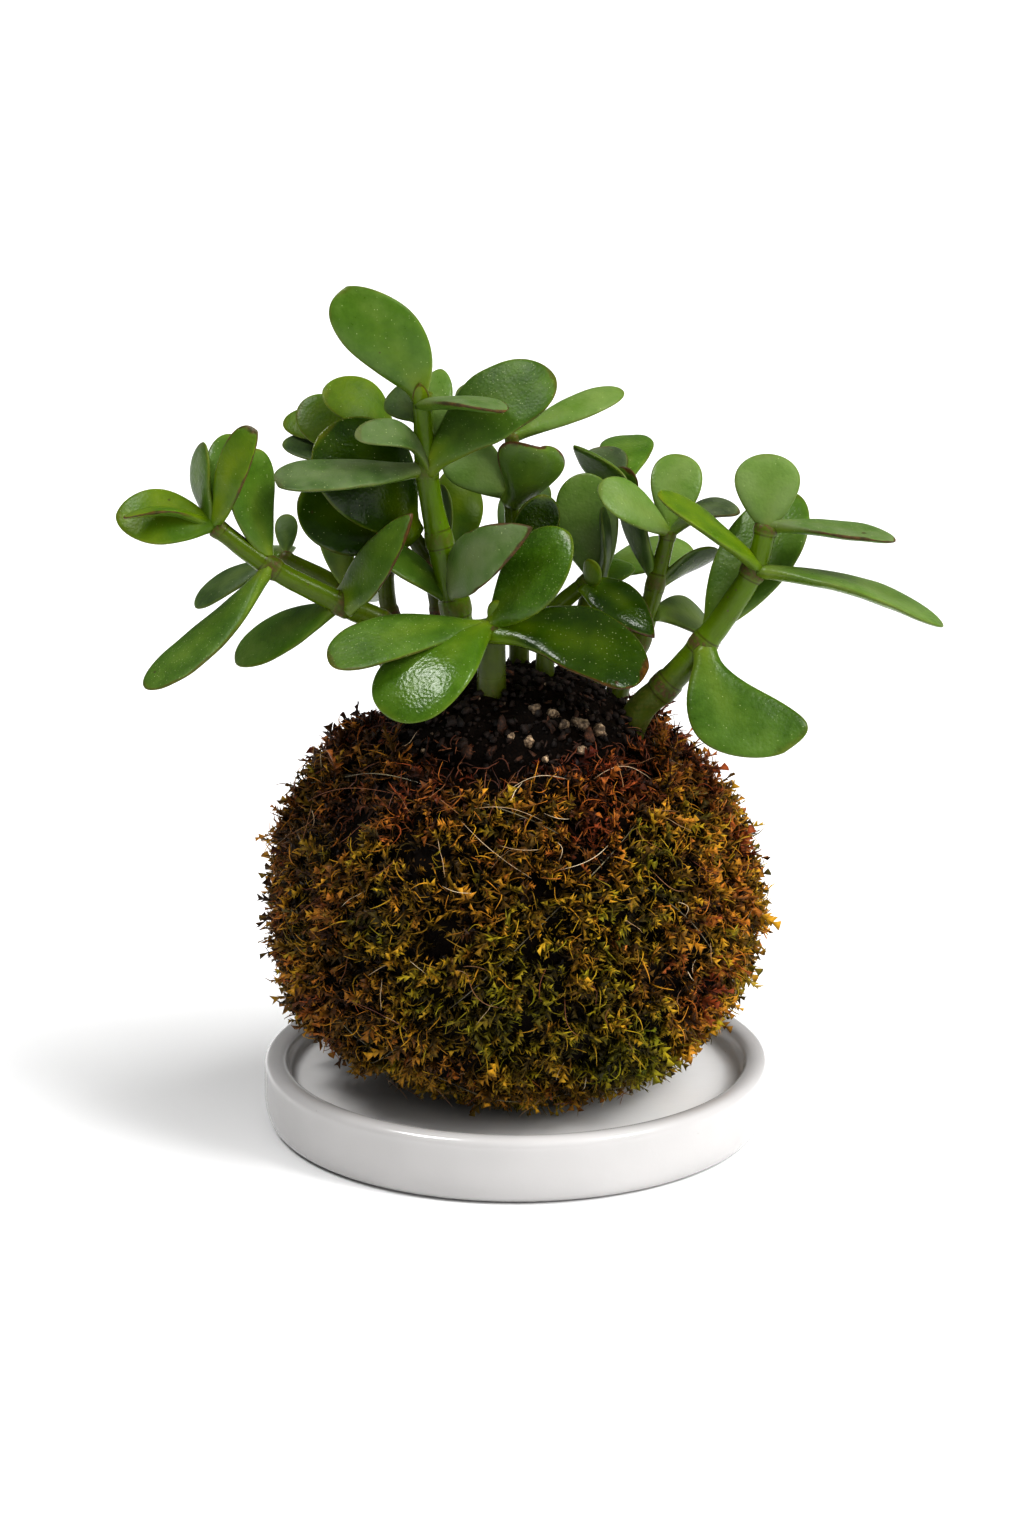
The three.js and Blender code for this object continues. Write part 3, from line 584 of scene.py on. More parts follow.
def stem_material():
    """Green stems with brown rings at their nodes and, where they are old, brown flaking feet."""
    m = Material(
        "jade_stem",
        Subsurface_Weight=0.1,
        Subsurface_Radius=(1 * MM, 1.4 * MM, 0.3 * MM),
        Subsurface_Scale=1.0,
        Specular_IOR_Level=0.25,
    )
    share, near, tone, wood = m.numbers("stem_share", "stem_node", "stem_tone", "stem_wood")
    clouds, mottle = m.noise(5, 3), m.noise(0.9, 3, 0.6)
    shade = m.sway(tone, clouds, 0.5, clamp=True)
    green = m.ramp(shade, (0.0, (40, 46, 3)), (0.45, (72, 88, 2)), (1.0, (84, 114, 1)))
    bark = m.ramp(mottle, (0.3, (26, 16, 10)), (0.6, (84, 58, 36)), (0.8, (120, 92, 60)))
    low = m.step(share, 0.05, 0.55, 1.0, 0.0)
    woody = m.times(m.times(low, wood), m.step(clouds, 0.25, 0.6, 0.6, 1.4), clamp=True)
    ring = m.times(m.step(near, 0.8, 2.3, 1.0, 0.0), m.step(mottle, 0.35, 0.6, 0.25, 0.9))
    ring = m.times(ring, m.scaled(wood, 1.8, 0.35), clamp=True)
    line = m.step(m.math("ABSOLUTE", m.math("SUBTRACT", near, 2.2)), 0.1, 0.32, 0.6, 0.0)
    line = m.times(line, m.step(clouds, 0.35, 0.55))
    distance, chances = m.cells(1.9)
    speck = m.times(m.step(distance, 0.1, 0.17, 1.0, 0.0), m.below(chances[0], 0.35))
    marks = m.math("MAXIMUM", m.math("MAXIMUM", woody, ring), m.times(speck, 0.7))
    colour = m.mix(marks, green, bark)
    colour = m.mix(line, colour, (52, 34, 10))
    roughness = m.scaled(marks, 0.4, 0.24)
    normal = m.bump(m.noise(0.7, 3), 0.08)
    normal = m.bump(m.times(woody, clouds), 0.5, normal)
    return m.finish(colour, roughness, normal)


def moss_material():
    """Moss that runs from green through mustard to rust, with painted shade that darkens it to near black
    towards the feet of its fronds and where their painted light is low.
    """
    m = Material("moss_fronds", Specular_IOR_Level=0.2)
    hue, height, light = m.numbers("moss_hue", "height", "moss_light")
    grain = m.noise(0.6, 3)
    hue = m.sway(hue, m.noise(1.8, 2), 0.24, clamp=True)
    colour = m.ramp(
        hue,
        (0.0, (108, 112, 16)),
        (0.25, (152, 136, 24)),
        (0.45, (188, 142, 32)),
        (0.62, (182, 116, 38)),
        (0.8, (154, 78, 36)),
        (1.0, (120, 44, 18)),
    )
    # Painted shade: each frond darkens to near black towards its foot and where its painted light is low.
    painted_shade_mix = m.times(m.step(height, 0.05, 0.85, 0.0, 1.0), light)
    painted_shade_mix = m.times(painted_shade_mix, m.scaled(grain, 0.9, 0.55), clamp=True)
    colour = m.mix(painted_shade_mix, (12, 4, 1), colour)
    return m.finish(colour, m.scaled(grain, 0.3, 0.3), m.bump(grain, 0.08))


def peat_material(name, dark, pale):
    """Peat and dead moss, from one colour to another."""
    m = Material(name, Specular_IOR_Level=0.1)
    grain, clouds = m.noise(0.5, 4, 0.65), m.noise(5, 3)
    paleness = m.times(m.step(grain, 0.35, 0.75), m.step(clouds, 0.2, 0.7, 0.3, 1.0))
    colour = m.mix(paleness, dark, pale)
    return m.finish(colour, m.scaled(grain, 0.3, 0.6), m.bump(grain, 0.4))


def crumb_material():
    """Grains of the potting mix: number 0 is peat, 0.5 is bark and 1 is perlite."""
    m = Material("soil_grains", Specular_IOR_Level=0.4)
    kind, light = m.numbers("grain_kind", "grain_light")
    grain = m.noise(0.45, 4, 0.6)
    peat = m.ramp(grain, (0.35, (3, 2, 1)), (0.75, (34, 21, 12)))
    bark = m.ramp(grain, (0.35, (34, 16, 8)), (0.75, (118, 72, 42)))
    perlite = m.ramp(grain, (0.3, (112, 84, 58)), (0.55, (186, 160, 128)), (0.8, (226, 208, 182)))
    colour = m.mix(m.step(kind, 0.2, 0.3), peat, bark)
    colour = m.mix(m.step(kind, 0.7, 0.8), colour, perlite)
    dirt = m.step(m.noise(1.3, 2), 0.4, 0.66, 0.85, 0.0)
    colour = m.mix(dirt, colour, (40, 24, 14))
    grey = m.node("CombineColor", ((0, light), (1, light), (2, light))).outputs[0]
    colour = m.mix(1.0, colour, grey, "MULTIPLY")
    return m.finish(colour, m.scaled(grain, 0.3, 0.5), m.bump(grain, 0.25))


def fibre_material():
    """Loose roots and stalks, rust brown to straw."""
    m = Material("fibres", Specular_IOR_Level=0.5)
    (straw,) = m.numbers("straw")
    grain = m.noise(0.8, 2)
    colour = m.ramp(
        m.sway(straw, grain, 0.3, clamp=True),
        (0.0, (38, 20, 12)),
        (0.45, (112, 58, 32)),
        (0.7, (150, 112, 70)),
        (1.0, (214, 198, 168)),
    )
    return m.finish(colour, m.scaled(grain, 0.2, 0.35), m.bump(grain, 0.05))


def glaze_material():
    """White glaze with a faint orange peel and a few pinholes; inside the dish it is painted near white as
    painted light.
    """
    m = Material("white_glaze", Coat_Weight=0.5, Coat_Roughness=0.06)
    (pooled,) = m.numbers("pooled")
    clouds, peel = m.noise(22, 2), m.noise(3.4, 2)
    colour = m.ramp(clouds, (0.3, (178, 176, 175)), (0.7, (184, 182, 181)))
    # Painted light: the glaze inside the dish is painted near white.
    colour = m.mix(pooled, colour, (240, 239, 238))
    distance, chances = m.cells(5.5)
    hole = m.times(m.step(distance, 0.02, 0.045, 1.0, 0.0), m.below(chances[0], 0.18))
    hole = m.times(hole, 0.5)
    colour = m.mix(hole, colour, (150, 142, 132))
    normal = m.bump(peel, 0.05)
    return m.finish(colour, m.scaled(clouds, 0.12, 0.14), m.bump(hole, -0.1, normal))


def thread_material():
    """Pale nylon thread, dulled here and there by soil."""
    m = Material("nylon_thread", Coat_Weight=0.3)
    grime = m.noise(6, 3)
    colour = m.ramp(grime, (0.4, (58, 48, 26)), (0.75, (150, 140, 108)))
    return m.finish(colour, m.scaled(grime, 0.3, 0.12), m.bump(m.noise(0.7, 2), 0.03))


def floor_material():
    """A matt white table."""
    m = Material("white_table", Specular_IOR_Level=0.1)
    colour = m.ramp(m.noise(900, 1), (0.3, (229, 229, 229)), (0.7, (232, 232, 232)))
    return m.finish(colour, 0.9)


# ------------------------------------------------------------------ saucer
def quadratic(start, control, end, steps):
    """Points on a quadratic curve, after its start."""
    start, control, end = (np.array(p, float) for p in (start, control, end))
    shares = np.linspace(0, 1, steps + 1)[1:, None]
    return (1 - shares) ** 2 * start + 2 * shares * (1 - shares) * control + shares**2 * end


def straight(start, end, steps):
    """Points on a straight line, after its start."""
    return np.array(start) + np.linspace(0, 1, steps + 1)[1:, None] * (np.array(end, float) - start)


SAUCER_FIRST_RING = 4
SAUCER_TURNS = 192
SAUCER_INSET = 0.15
SAUCER_LEAN = 0.5
SAUCER_DIP = 0.12


def make_saucer(glaze):
    """The saucer of the CAD model, rounder and with the slight waves of a thrown and dipped piece."""
    inside = SAUCER_RADIUS - SAUCER_RIM_WIDTH
    rim_low = SAUCER_HEIGHT - SAUCER_RIM_ROUND
    foot = (SAUCER_FOOT_RADIUS, 0)
    waist = (SAUCER_RADIUS, SAUCER_HEIGHT / 2)
    rim_top = (SAUCER_RADIUS - SAUCER_RIM_ROUND, SAUCER_HEIGHT)
    floor_edge = (SAUCER_FLOOR_RADIUS, SAUCER_FLOOR_TOP)
    outline = np.concatenate([
        [(SAUCER_FIRST_RING, 0)],
        straight((SAUCER_FIRST_RING, 0), foot, 8),
        quadratic(foot, (SAUCER_RADIUS, 0), waist, 12),
        straight(waist, (SAUCER_RADIUS, rim_low), 4),
        quadratic((SAUCER_RADIUS, rim_low), (SAUCER_RADIUS, SAUCER_HEIGHT), rim_top, 8),
        quadratic(rim_top, (inside, SAUCER_HEIGHT), (inside, rim_low), 8),
        quadratic((inside, rim_low), (inside, SAUCER_FLOOR_TOP), floor_edge, 10),
        straight(floor_edge, (SAUCER_FIRST_RING, SAUCER_FLOOR_TOP), 12),
    ])
    turns = circle(SAUCER_TURNS)
    radii, heights = outline[:, :1], outline[:, 1:]
    wave = 0.16 * np.sin(3 * turns + 1) + 0.1 * np.sin(7 * turns)
    lifted = smoothstep(heights, 6, SAUCER_HEIGHT)
    radii = radii - SAUCER_INSET + lifted * wave * SAUCER_LEAN
    heights = heights + lifted * SAUCER_DIP * (np.sin(2 * turns + 0.6) - 1)
    rings = np.stack([radii * np.cos(turns), radii * np.sin(turns), heights + 0 * turns], axis=-1)
    shape = Shape()
    points, quads, caps = loft(rings, (0, 0, 0), (0, 0, SAUCER_FLOOR_TOP))
    level = np.hypot(points[:, 0], points[:, 1])
    # Painted light: how far the glaze inside the dish is painted near white.
    pooled = smoothstep(level, SAUCER_RADIUS - 4, inside - 2) * smoothstep(points[:, 2], 5, 9)
    shape.add(points, quads, caps, pooled=pooled)
    shape.make("glazed_saucer", glaze, "glaze", "saucer")


# ------------------------------------------------------------------ ball
BALL_FLOOR = SAUCER_FLOOR_TOP + 0.4
MOSS_FLOOR = SAUCER_FLOOR_TOP + 2
SOIL_FLOOR = SAUCER_FLOOR_TOP + MOSS_THICKNESS + 0.3
FROND_FLOOR = SAUCER_FLOOR_TOP + 1.2


def ball_reach(way):
    """How far the smooth ball's skin is from its centre, along unit vectors."""
    level = np.hypot(way[:, 0], way[:, 1]) / BALL_RADIUS
    steep = np.abs(way[:, 2]) / np.where(way[:, 2] > 0, BALL_RISE, BALL_DROP)
    reach = (level**BALL_SQUARENESS + steep**BALL_SQUARENESS) ** (-1 / BALL_SQUARENESS)
    return reach * (1 - SHOULDER_LIFT * way[:, 0] * np.maximum(way[:, 2], 0))


def bareness(way, wander=0.0):
    """1 where the top of the ball is bare soil, 0 where moss covers it."""
    past = np.arccos(np.clip(way[:, 2], -1, 1)) + wander - OPENING_ANGLE
    return 1 - smoothstep(past, -OPENING_BLEND, OPENING_BLEND)


def mound(way):
    """How far the bare soil heaps up above the smooth ball."""
    return SOIL_MOUND * smoothstep(way[:, 2], math.cos(OPENING_ANGLE), 1)


def edge_bareness(way):
    """How bare the ball is, with the uneven edge that the moss has."""
    places = way * ball_reach(way)[:, None]
    return bareness(way, EDGE_WANDER * (lattice_noise(places, EDGE_SPACING) - 0.5))


def lumps(way):
    """How far the moss's broad lumps stand out."""
    places = way * ball_reach(way)[:, None]
    return MOSS_LUMP * (2 * lattice_noise(places, LUMP_SPACING) - 1)


def relief(places, *parts):
    """Noise added up from parts, each a height and the size of its features."""
    return sum(height * lattice_noise(places, size) for height, size in parts)


def on_ball(way, reach, floor=BALL_FLOOR):
    """Points along way at that reach, none lower than floor."""
    points = way * np.reshape(reach, (-1, 1)) + (0, 0, BALL_CENTRE_Z)
    points[:, 2] = np.maximum(points[:, 2], floor)
    return points


def ways(angles, turns):
    """Unit vectors for angles from straight up, and turns about it."""
    level = np.sin(angles)
    return np.stack([level * np.cos(turns), level * np.sin(turns), np.cos(angles) + 0 * turns], axis=-1)


def ball_rings(angles, columns, reach_of, floor):
    """Rings round the ball at angles from straight up."""
    turns = circle(columns)
    way = ways(angles[:, None], turns[None, :]).reshape(-1, 3)
    return on_ball(way, reach_of(way), floor).reshape(len(angles), columns, 3)


MAT_DEPTH = 3.9
MAT_EDGE_DEPTH = 3.2
MAT_RINGS = 150
MAT_COLUMNS = 320
POLE_ANGLE = 0.02


def mat_outside(way):
    """How far out the matted moss under the fronds reaches."""
    reach = ball_reach(way)
    rough = relief(way * reach[:, None], (1.8, 3.1), (1.1, 1.4))
    return reach + lumps(way) - MAT_DEPTH + rough - MAT_EDGE_DEPTH * edge_bareness(way)


def mat_inside(way):
    """How far out the moss's inner face is."""
    return ball_reach(way) - MOSS_THICKNESS * (1 - 0.35 * bareness(way))


def make_moss_skin(peat):
    """The matted underside of the moss: a closed shell round the soil, open at the top."""
    turning = np.linspace(OPENING_ANGLE - math.radians(4), math.pi - POLE_ANGLE, MAT_RINGS)
    outside = ball_rings(turning, MAT_COLUMNS, mat_outside, BALL_FLOOR)
    inside = ball_rings(turning[::-5], MAT_COLUMNS, mat_inside, MOSS_FLOOR)
    rings = np.concatenate([inside, outside])
    shape = Shape()
    shape.add_loft(rings[::-1], (0, 0, BALL_FLOOR), (0, 0, MOSS_FLOOR))
    shape.make("moss_mat", peat, "moss", "moss_wrap")


# Fronds are built one unit long, growing along z with their flat side to y. A frond is a
# (points, triangles, heights) triple; heights, from 0 to 1, say how near a point is to its tip, and
# the moss's painted shade darkens the points with low heights.
def leaflet(base, tip, half_width, keel):
    """A thin folded leaflet: its four corners. keel is how deep its fold is."""
    base, tip = np.asarray(base, float), np.asarray(tip, float)
    along = unit(tip - base)
    side = unit(np.cross(along, (0, 1, 0.05)))
    middle = base + 0.45 * (tip - base) + (0, keel, 0)
    return [base, tip, middle - side * half_width, middle + side * half_width]


LEAFLET_FACES = np.array([(0, 2, 1), (0, 1, 3), (0, 3, 2), (1, 2, 3)])
RIB_HEIGHT = 0.035
RIB_DEPTH = -0.01


def frond_of(leaflets):
    """One frond from its leaflets."""
    points = np.concatenate(leaflets)
    triangles = np.concatenate([LEAFLET_FACES + 4 * i for i in range(len(leaflets))])
    heights = np.clip(np.linalg.norm(points, axis=1), 0, 1)
    return points, triangles, heights


def blade(lobes, spread):
    """A thin leaf with pointed lobes, curled along its rib; both its faces are there."""
    lean, hook = random.uniform(-0.45, 0.45), random.uniform(-0.3, 0.75)

    def rib(share, lift=0.0):
        return np.array([lean * share**2, hook * share**2 + lift, share * (1 - 0.25 * abs(hook) * share)])

    tip = 2 * lobes
    points = [rib(i / lobes, RIB_HEIGHT) for i in range(lobes)]
    points += [rib(i / lobes, RIB_DEPTH) for i in range(lobes)]
    points.append(rib(1))
    triangles = []
    for side in (1, -1):
        first = len(points)
        for i in range(lobes):
            share = (i + 0.55) / lobes
            reach = spread * math.sin(math.pi * (0.16 + 0.72 * share)) * random.uniform(0.65, 1.25)
            notch = 0.03 if i == 0 else spread * random.uniform(0.08, 0.2)
            lobe = (side * reach, random.uniform(-0.12, 0.2), random.uniform(0.04, 0.24))
            points.append(rib(i / lobes) + (side * notch, 0, 0))
            points.append(rib(share) + lobe)
        for i in range(lobes):
            notch, lobe = first + 2 * i, first + 2 * i + 1
            after = notch + 2 if i < lobes - 1 else tip
            for front, row in ((1, i), (-1, lobes + i)):
                faces = [(row, notch, lobe), (row, lobe, after)]
                if i < lobes - 1:
                    faces.append((row, after, row + 1))
                triangles += [face[:: side * front] for face in faces]
        triangles.append((0, first, lobes)[::side])
    points = np.array(points)
    # Heights drop towards the rib, so the moss's painted shade darkens the rib more than the lobes' edges.
    rim = smoothstep(np.abs(points[:, 0] - lean * points[:, 2] ** 2), 0.02, 0.2)
    return points, np.array(triangles), np.clip(np.linalg.norm(points, axis=1), 0, 1) * (0.62 + 0.38 * rim)


def star(count=6):
    """A rosette of pointed leaflets."""
    leaflets = []
    for i in range(count):
        turn = 2 * math.pi * (i + random.uniform(-0.3, 0.3)) / count
        open_angle = random.uniform(0.5, 1.35)
        reach = random.uniform(0.6, 1.0)
        out = math.sin(open_angle) * reach
        tip = (out * math.cos(turn), out * math.sin(turn), reach * math.cos(open_angle) + 0.1)
        leaflets.append(leaflet((0, 0, 0), tip, 0.13, random.uniform(-0.08, 0.08)))
    return frond_of(leaflets)


def curl():
    """A hooked stalk with three sides."""
    s = np.linspace(0, 1, 6)
    bend, twist = random.uniform(0.6, 1.6), random.uniform(-1, 1)
    sideways = 0.35 * (np.sin(bend * 2 * s + twist) - math.sin(twist))
    path = np.stack([sideways, 0.3 * np.sin(2.4 * s * bend), s], axis=-1)
    rings = tube(path, 0.045 * (1 - 0.75 * s), 3)
    points, quads, caps = loft(rings, path[0], path[-1])
    triangles = np.concatenate([quads[:, [0, 1, 2]], quads[:, [0, 2, 3]], np.array(caps)])
    return points, triangles, np.clip(np.linalg.norm(points, axis=1), 0, 1)


# Patches of rusty and of green moss: a place on the ball, in millimetres from its centre, and a radius.
RUSTY_PATCHES = (
    ((12, -48, 26), 17), ((58, -12, 14), 16), ((20, -34, 42), 12), ((-20, -46, -22), 13),
    ((48, -34, -10), 12),
)
GREEN_PATCHES = (
    ((4, -52, -26), 26), ((-20, -46, 22), 14), ((-52, -24, 4), 15), ((30, -44, -30), 18),
    ((-26, -40, -34), 16),
)


def patch(places, patches):
    """From 0 to 1, how near places are to the middles of patches."""
    near = np.zeros(len(places))
    for middle, radius in patches:
        off = np.linalg.norm(places - middle, axis=1)
        near = np.maximum(near, 1 - smoothstep(off, 0.3 * radius, radius))
    return near


def moss_hues(places):
    """The moss's hue at places measured from the ball's centre: 0 is green and 1 is rust."""
    clouds = 0.55 * lattice_noise(places + 200, 11) + 0.45 * lattice_noise(places + 90, 4.5)
    hue = 0.4 + 0.8 * (clouds - 0.5)
    hue += 0.25 * patch(places, RUSTY_PATCHES) - 0.1 * patch(places, GREEN_PATCHES)
    hue += 0.06 * smoothstep(places[:, 0], 30, 58) + 0.1 * smoothstep(-places[:, 0], 20, 50)
    return hue + 0.3 * smoothstep(places[:, 2], 24, 46)


GOLDEN_ANGLE = 2.399963


def moss_places(count):
    """Evenly spread unit vectors over the mossy part of the ball."""
    i = np.arange(count) + random.uniform(-0.5, 0.5, count)
    height = 1 - 2 * (i + 0.5) / count
    way = ways(np.arccos(np.clip(height, -1, 1)), np.arange(count) * GOLDEN_ANGLE)
    way = unit(way + random.normal(0, 0.012, (count, 3)))
    kept = random.uniform(0, 1, count) > edge_bareness(way) * 1.15
    way = way[kept]
    above = way[:, 2] * ball_reach(way) + BALL_CENTRE_Z > SAUCER_FLOOR_TOP + 1.5
    return way[above]


def outward(way):
    """The way the ball's skin looks along unit vectors."""
    return unit(way / (BALL_RADIUS**2, BALL_RADIUS**2, BALL_RISE**2))


def frond_roots(count):
    """Unit vectors to where fronds grow, thinned out between clumps, and how deep in a clump each is."""
    way = moss_places(count)
    places = way * ball_reach(way)[:, None]
    clumps = lattice_noise(places + 40, 6) * 0.6 + lattice_noise(places + 7, 3) * 0.4
    kept = clumps > random.uniform(0.16, 0.54, len(way))
    return way[kept], clumps[kept]


def frond_painted_light(places, clumps, bare):
    """Painted light and shade for fronds: a few bright ones among dark ones at random, painted shade
    between clumps, by the soil and towards the top, and the right side painted lighter than the left.
    """
    x, _, z = places.T
    lights = (0.12 + 1.5 * random.uniform(0, 1, len(places)) ** 1.7) * (1.7 * clumps - 0.05)
    # Painted light on the right side of the ball and painted shade on its left.
    sides = 0.24 + 0.12 * smoothstep(x, 15, 50) - 0.42 * smoothstep(-x, 15, 50)
    return lights * (1 - 0.5 * bare) * (1 - 0.25 * smoothstep(z, 24, 44)) * (1 + sides)


def add_fronds(shape, models, count, low, high, rise, paleness):
    """Scatters fronds from low to high millimetres long over the moss. rise is how steeply they stand."""
    way, clumps = frond_roots(count)
    number = len(way)
    skin = ball_reach(way)
    places = way * skin[:, None]
    normal = outward(way)
    drift = random.normal(0, 1, (number, 3))
    drift -= normal * np.sum(drift * normal, axis=1, keepdims=True)
    along = unit(normal * random.uniform(0.15, rise, (number, 1)) + unit(drift) * 0.75 + (0, 0, -0.22))
    facing = unit(normal + random.normal(0, 0.45, (number, 3)))
    axes = frames(along, facing)
    bare = edge_bareness(way)
    low_part = smoothstep(-places[:, 2], 22, 44)
    sizes = random.uniform(low, high, number) * (1 - 0.35 * bare) * (1 - 0.3 * low_part)
    reach = skin + lumps(way) + 6.4 * (clumps - 0.62) - 0.8 - 4.2 * bare - 2.4 * low_part
    bases = on_ball(way, reach, FROND_FLOOR)
    lowest = bases[:, 2] + np.minimum(along[:, 2], -0.2) * sizes
    near_floor = lowest < FROND_FLOOR - 0.6
    along[near_floor, 2] = np.abs(along[near_floor, 2])
    axes[near_floor] = frames(along[near_floor], facing[near_floor])
    hues = moss_hues(places) + random.normal(0, 0.07, number) + 0.35 * bare
    # Each frond's painted light and shade, scaled by how pale its kind is.
    lights = frond_painted_light(places, clumps, bare) * paleness
    which = random.integers(0, len(models), number)
    for i, model in enumerate(models):
        chosen = which == i
        scatter(
            shape, model, bases[chosen], axes[chosen], sizes[chosen],
            moss_hue=hues[chosen], moss_light=lights[chosen],
        )


MODELS_PER_KIND = 7


def make_moss(material):
    """The moss's fronds: lobed leaves, rosettes, curled stalks and upright tufts."""
    for name, maker, count, low, high, rise, paleness in (
        ("moss_leaves_long", lambda: blade(5, 0.28), 3600, 4.6, 8.0, 0.8, 1.0),
        ("moss_leaves_broad", lambda: blade(5, 0.4), 4200, 3.2, 5.4, 0.8, 1.0),
        ("moss_leaves_small", lambda: blade(3, 0.42), 7600, 2.0, 3.8, 1.2, 1.0),
        ("moss_rosettes", star, 4600, 1.6, 3.0, 1.2, 0.9),
        ("moss_stalks", curl, 6400, 3.0, 7.0, 1.3, 1.5),
        ("moss_tufts", lambda: blade(6, 0.18), 700, 4.5, 8.0, 3.0, 1.1),
    ):
        shape = Shape()
        add_fronds(shape, [maker() for _ in range(MODELS_PER_KIND)], count, low, high, rise, paleness)
        shape.make(name, material, "moss", "moss_wrap", flat=True)


# ------------------------------------------------------------------ soil
def lump_model(roughness, stretch, detail=1):
    """An uneven stone one unit across: a (points, triangles, heights) triple."""
    ball = bmesh.new()
    bmesh.ops.create_icosphere(ball, subdivisions=detail, radius=0.5)
    points = np.array([v.co for v in ball.verts])
    triangles = np.array([[v.index for v in face.verts] for face in ball.faces])
    ball.free()
    shift = random.uniform(0, 90)
    points *= 1 + roughness * (lattice_noise(points + shift, 0.42) - 0.5)[:, None]
    return points * stretch, triangles, np.ones(len(points))


def soil_surface(way):
    """How far out the soil reaches, with crumbs on its bare top."""
    skin = ball_reach(way)
    bare = bareness(way)
    crumbs = relief(way * skin[:, None], (1.9, 2.9), (1.1, 1.2)) - 1.9
    return skin + mound(way) - MOSS_THICKNESS * (1 - bare) * 0.98 + crumbs * bare - 0.3


def make_soil_mass(peat):
    """The ball of soil, with fine rings where it is bare."""
    turning = np.concatenate([np.linspace(0.01, 0.8, 110), np.linspace(0.84, math.pi - POLE_ANGLE, 34)])
    rings = ball_rings(turning, 260, soil_surface, SOIL_FLOOR)
    top = rings[0, :, 2].mean()
    shape = Shape()
    shape.add_loft(rings[::-1], (0, 0, SOIL_FLOOR), (0, 0, top))
    shape.make("soil_mass", peat, "soil", "soil_ball")


# Grains that show in front: their kind, size and place over the ball's centre, in millimetres.
NAMED_GRAINS = (
    (1.0, 4.2, 15, -22), (1.0, 3.4, 20, -21), (0.6, 4.0, -3, -26), (1.0, 3.0, 4, -21), (1.0, 3.2, 8.5, -21),
    (1.0, 2.6, 11, -24), (1.0, 2.4, 7, -32), (0.6, 3.2, -6, -31), (1.0, 2.6, 16, -28), (1.0, 3.0, 31, -22),
    (1.0, 2.6, 33, -17), (0.6, 3.4, 17, -25), (1.0, 2.0, -1, -29), (1.0, 2.2, 3, -30), (0.6, 3.6, -12, -30),
)


def make_grains(material):
    """Peat crumbs, bark and perlite that lie on the soil."""
    shape = Shape()
    for kind, count, low, high, spread, roughness, stretch in (
        (0.0, 1500, 0.6, 3.0, 1.18, 1.6, (1, 0.7, 0.6)),
        (0.5, 260, 1.4, 4.6, 1.16, 1.2, (1, 0.4, 0.14)),
        (1.0, 30, 0.7, 1.6, 1.0, 1.6, (1, 0.8, 0.7)),
    ):
        models = [lump_model(roughness, stretch) for _ in range(6)]
        angles = OPENING_ANGLE * spread * np.sqrt(random.uniform(0, 1, count))
        way = ways(angles, random.uniform(0, 2 * math.pi, count))
        add_grains(shape, models, way, random.uniform(0, 1, count) ** 1.6 * (high - low) + low, kind)
    for kind, size, x, y in NAMED_GRAINS:
        way = unit(np.array([[x, y, math.sqrt(BALL_RISE**2 - x * x - y * y)]]))
        stretch = (1, 0.8, 0.7) if kind > 0.7 else (1, 0.9, 0.45)
        add_grains(shape, [lump_model(1.5, stretch, 2)], way, np.array([1.1 * size]), kind)
    shape.make("soil_grains", material, "soil", "soil_ball", flat=True)


def add_grains(shape, models, way, sizes, kind):
    """Lays grains on the soil, half sunk."""
    number = len(way)
    skin = soil_surface(way) + 0.25 * sizes
    spin = unit(random.normal(0, 1, (number, 3)))
    axes = frames(unit(outward(way) + random.normal(0, 0.6, (number, 3))), spin)
    lights = random.uniform(0.45, 1.1, number)
    which = random.integers(0, len(models), number)
    for i, model in enumerate(models):
        chosen = which == i
        scatter(
            shape, model, on_ball(way, skin)[chosen], axes[chosen], sizes[chosen],
            grain_kind=np.full(chosen.sum(), kind), grain_light=lights[chosen],
        )


def add_strand(shape, path, radius, straw, sides):
    """A thin round strand along path, pointed at both ends."""
    share = np.linspace(0, 1, len(path))
    rings = tube(path, radius * np.minimum(1, 0.3 + 4 * np.minimum(share, 1 - share)), sides)
    shape.add_loft(rings, path[0], path[-1], straw=straw)


MEAN_REACH = 56


def wander_path(way, turn, length, steps, lift, waviness):
    """A path over the ball from one unit vector, in a direction, that rises and wavers."""
    normal = outward(way[None])[0]
    heading = unit(np.cross(normal, (math.sin(turn), math.cos(turn), 0.3)))
    path = []
    for _ in range(steps):
        heading = unit(heading + np.cross(normal, heading) * random.normal(0, waviness))
        way = unit(way + heading * length / steps / MEAN_REACH)
        path.append(way)
    path = np.array(path)
    reach = ball_reach(path) + lumps(path) * (1 - bareness(path)) + lift(np.linspace(0, 1, steps))
    return on_ball(path, reach)


def add_stray(shape, angles, rises, rise_of, lengths, steps, waviness, radii, straws):
    """A strand that starts at one of those angles from straight up and wanders over the ball."""
    way = ways(np.array(random.uniform(*angles)), np.array(random.uniform(0, 2 * math.pi)))
    rise = random.uniform(*rises)
    turn = random.uniform(0, 6.3)
    length = random.uniform(*lengths)
    path = wander_path(way, turn, length, steps, lambda share: rise_of(rise, share), waviness)
    add_strand(shape, path, random.uniform(*radii), random.uniform(*straws), 3)


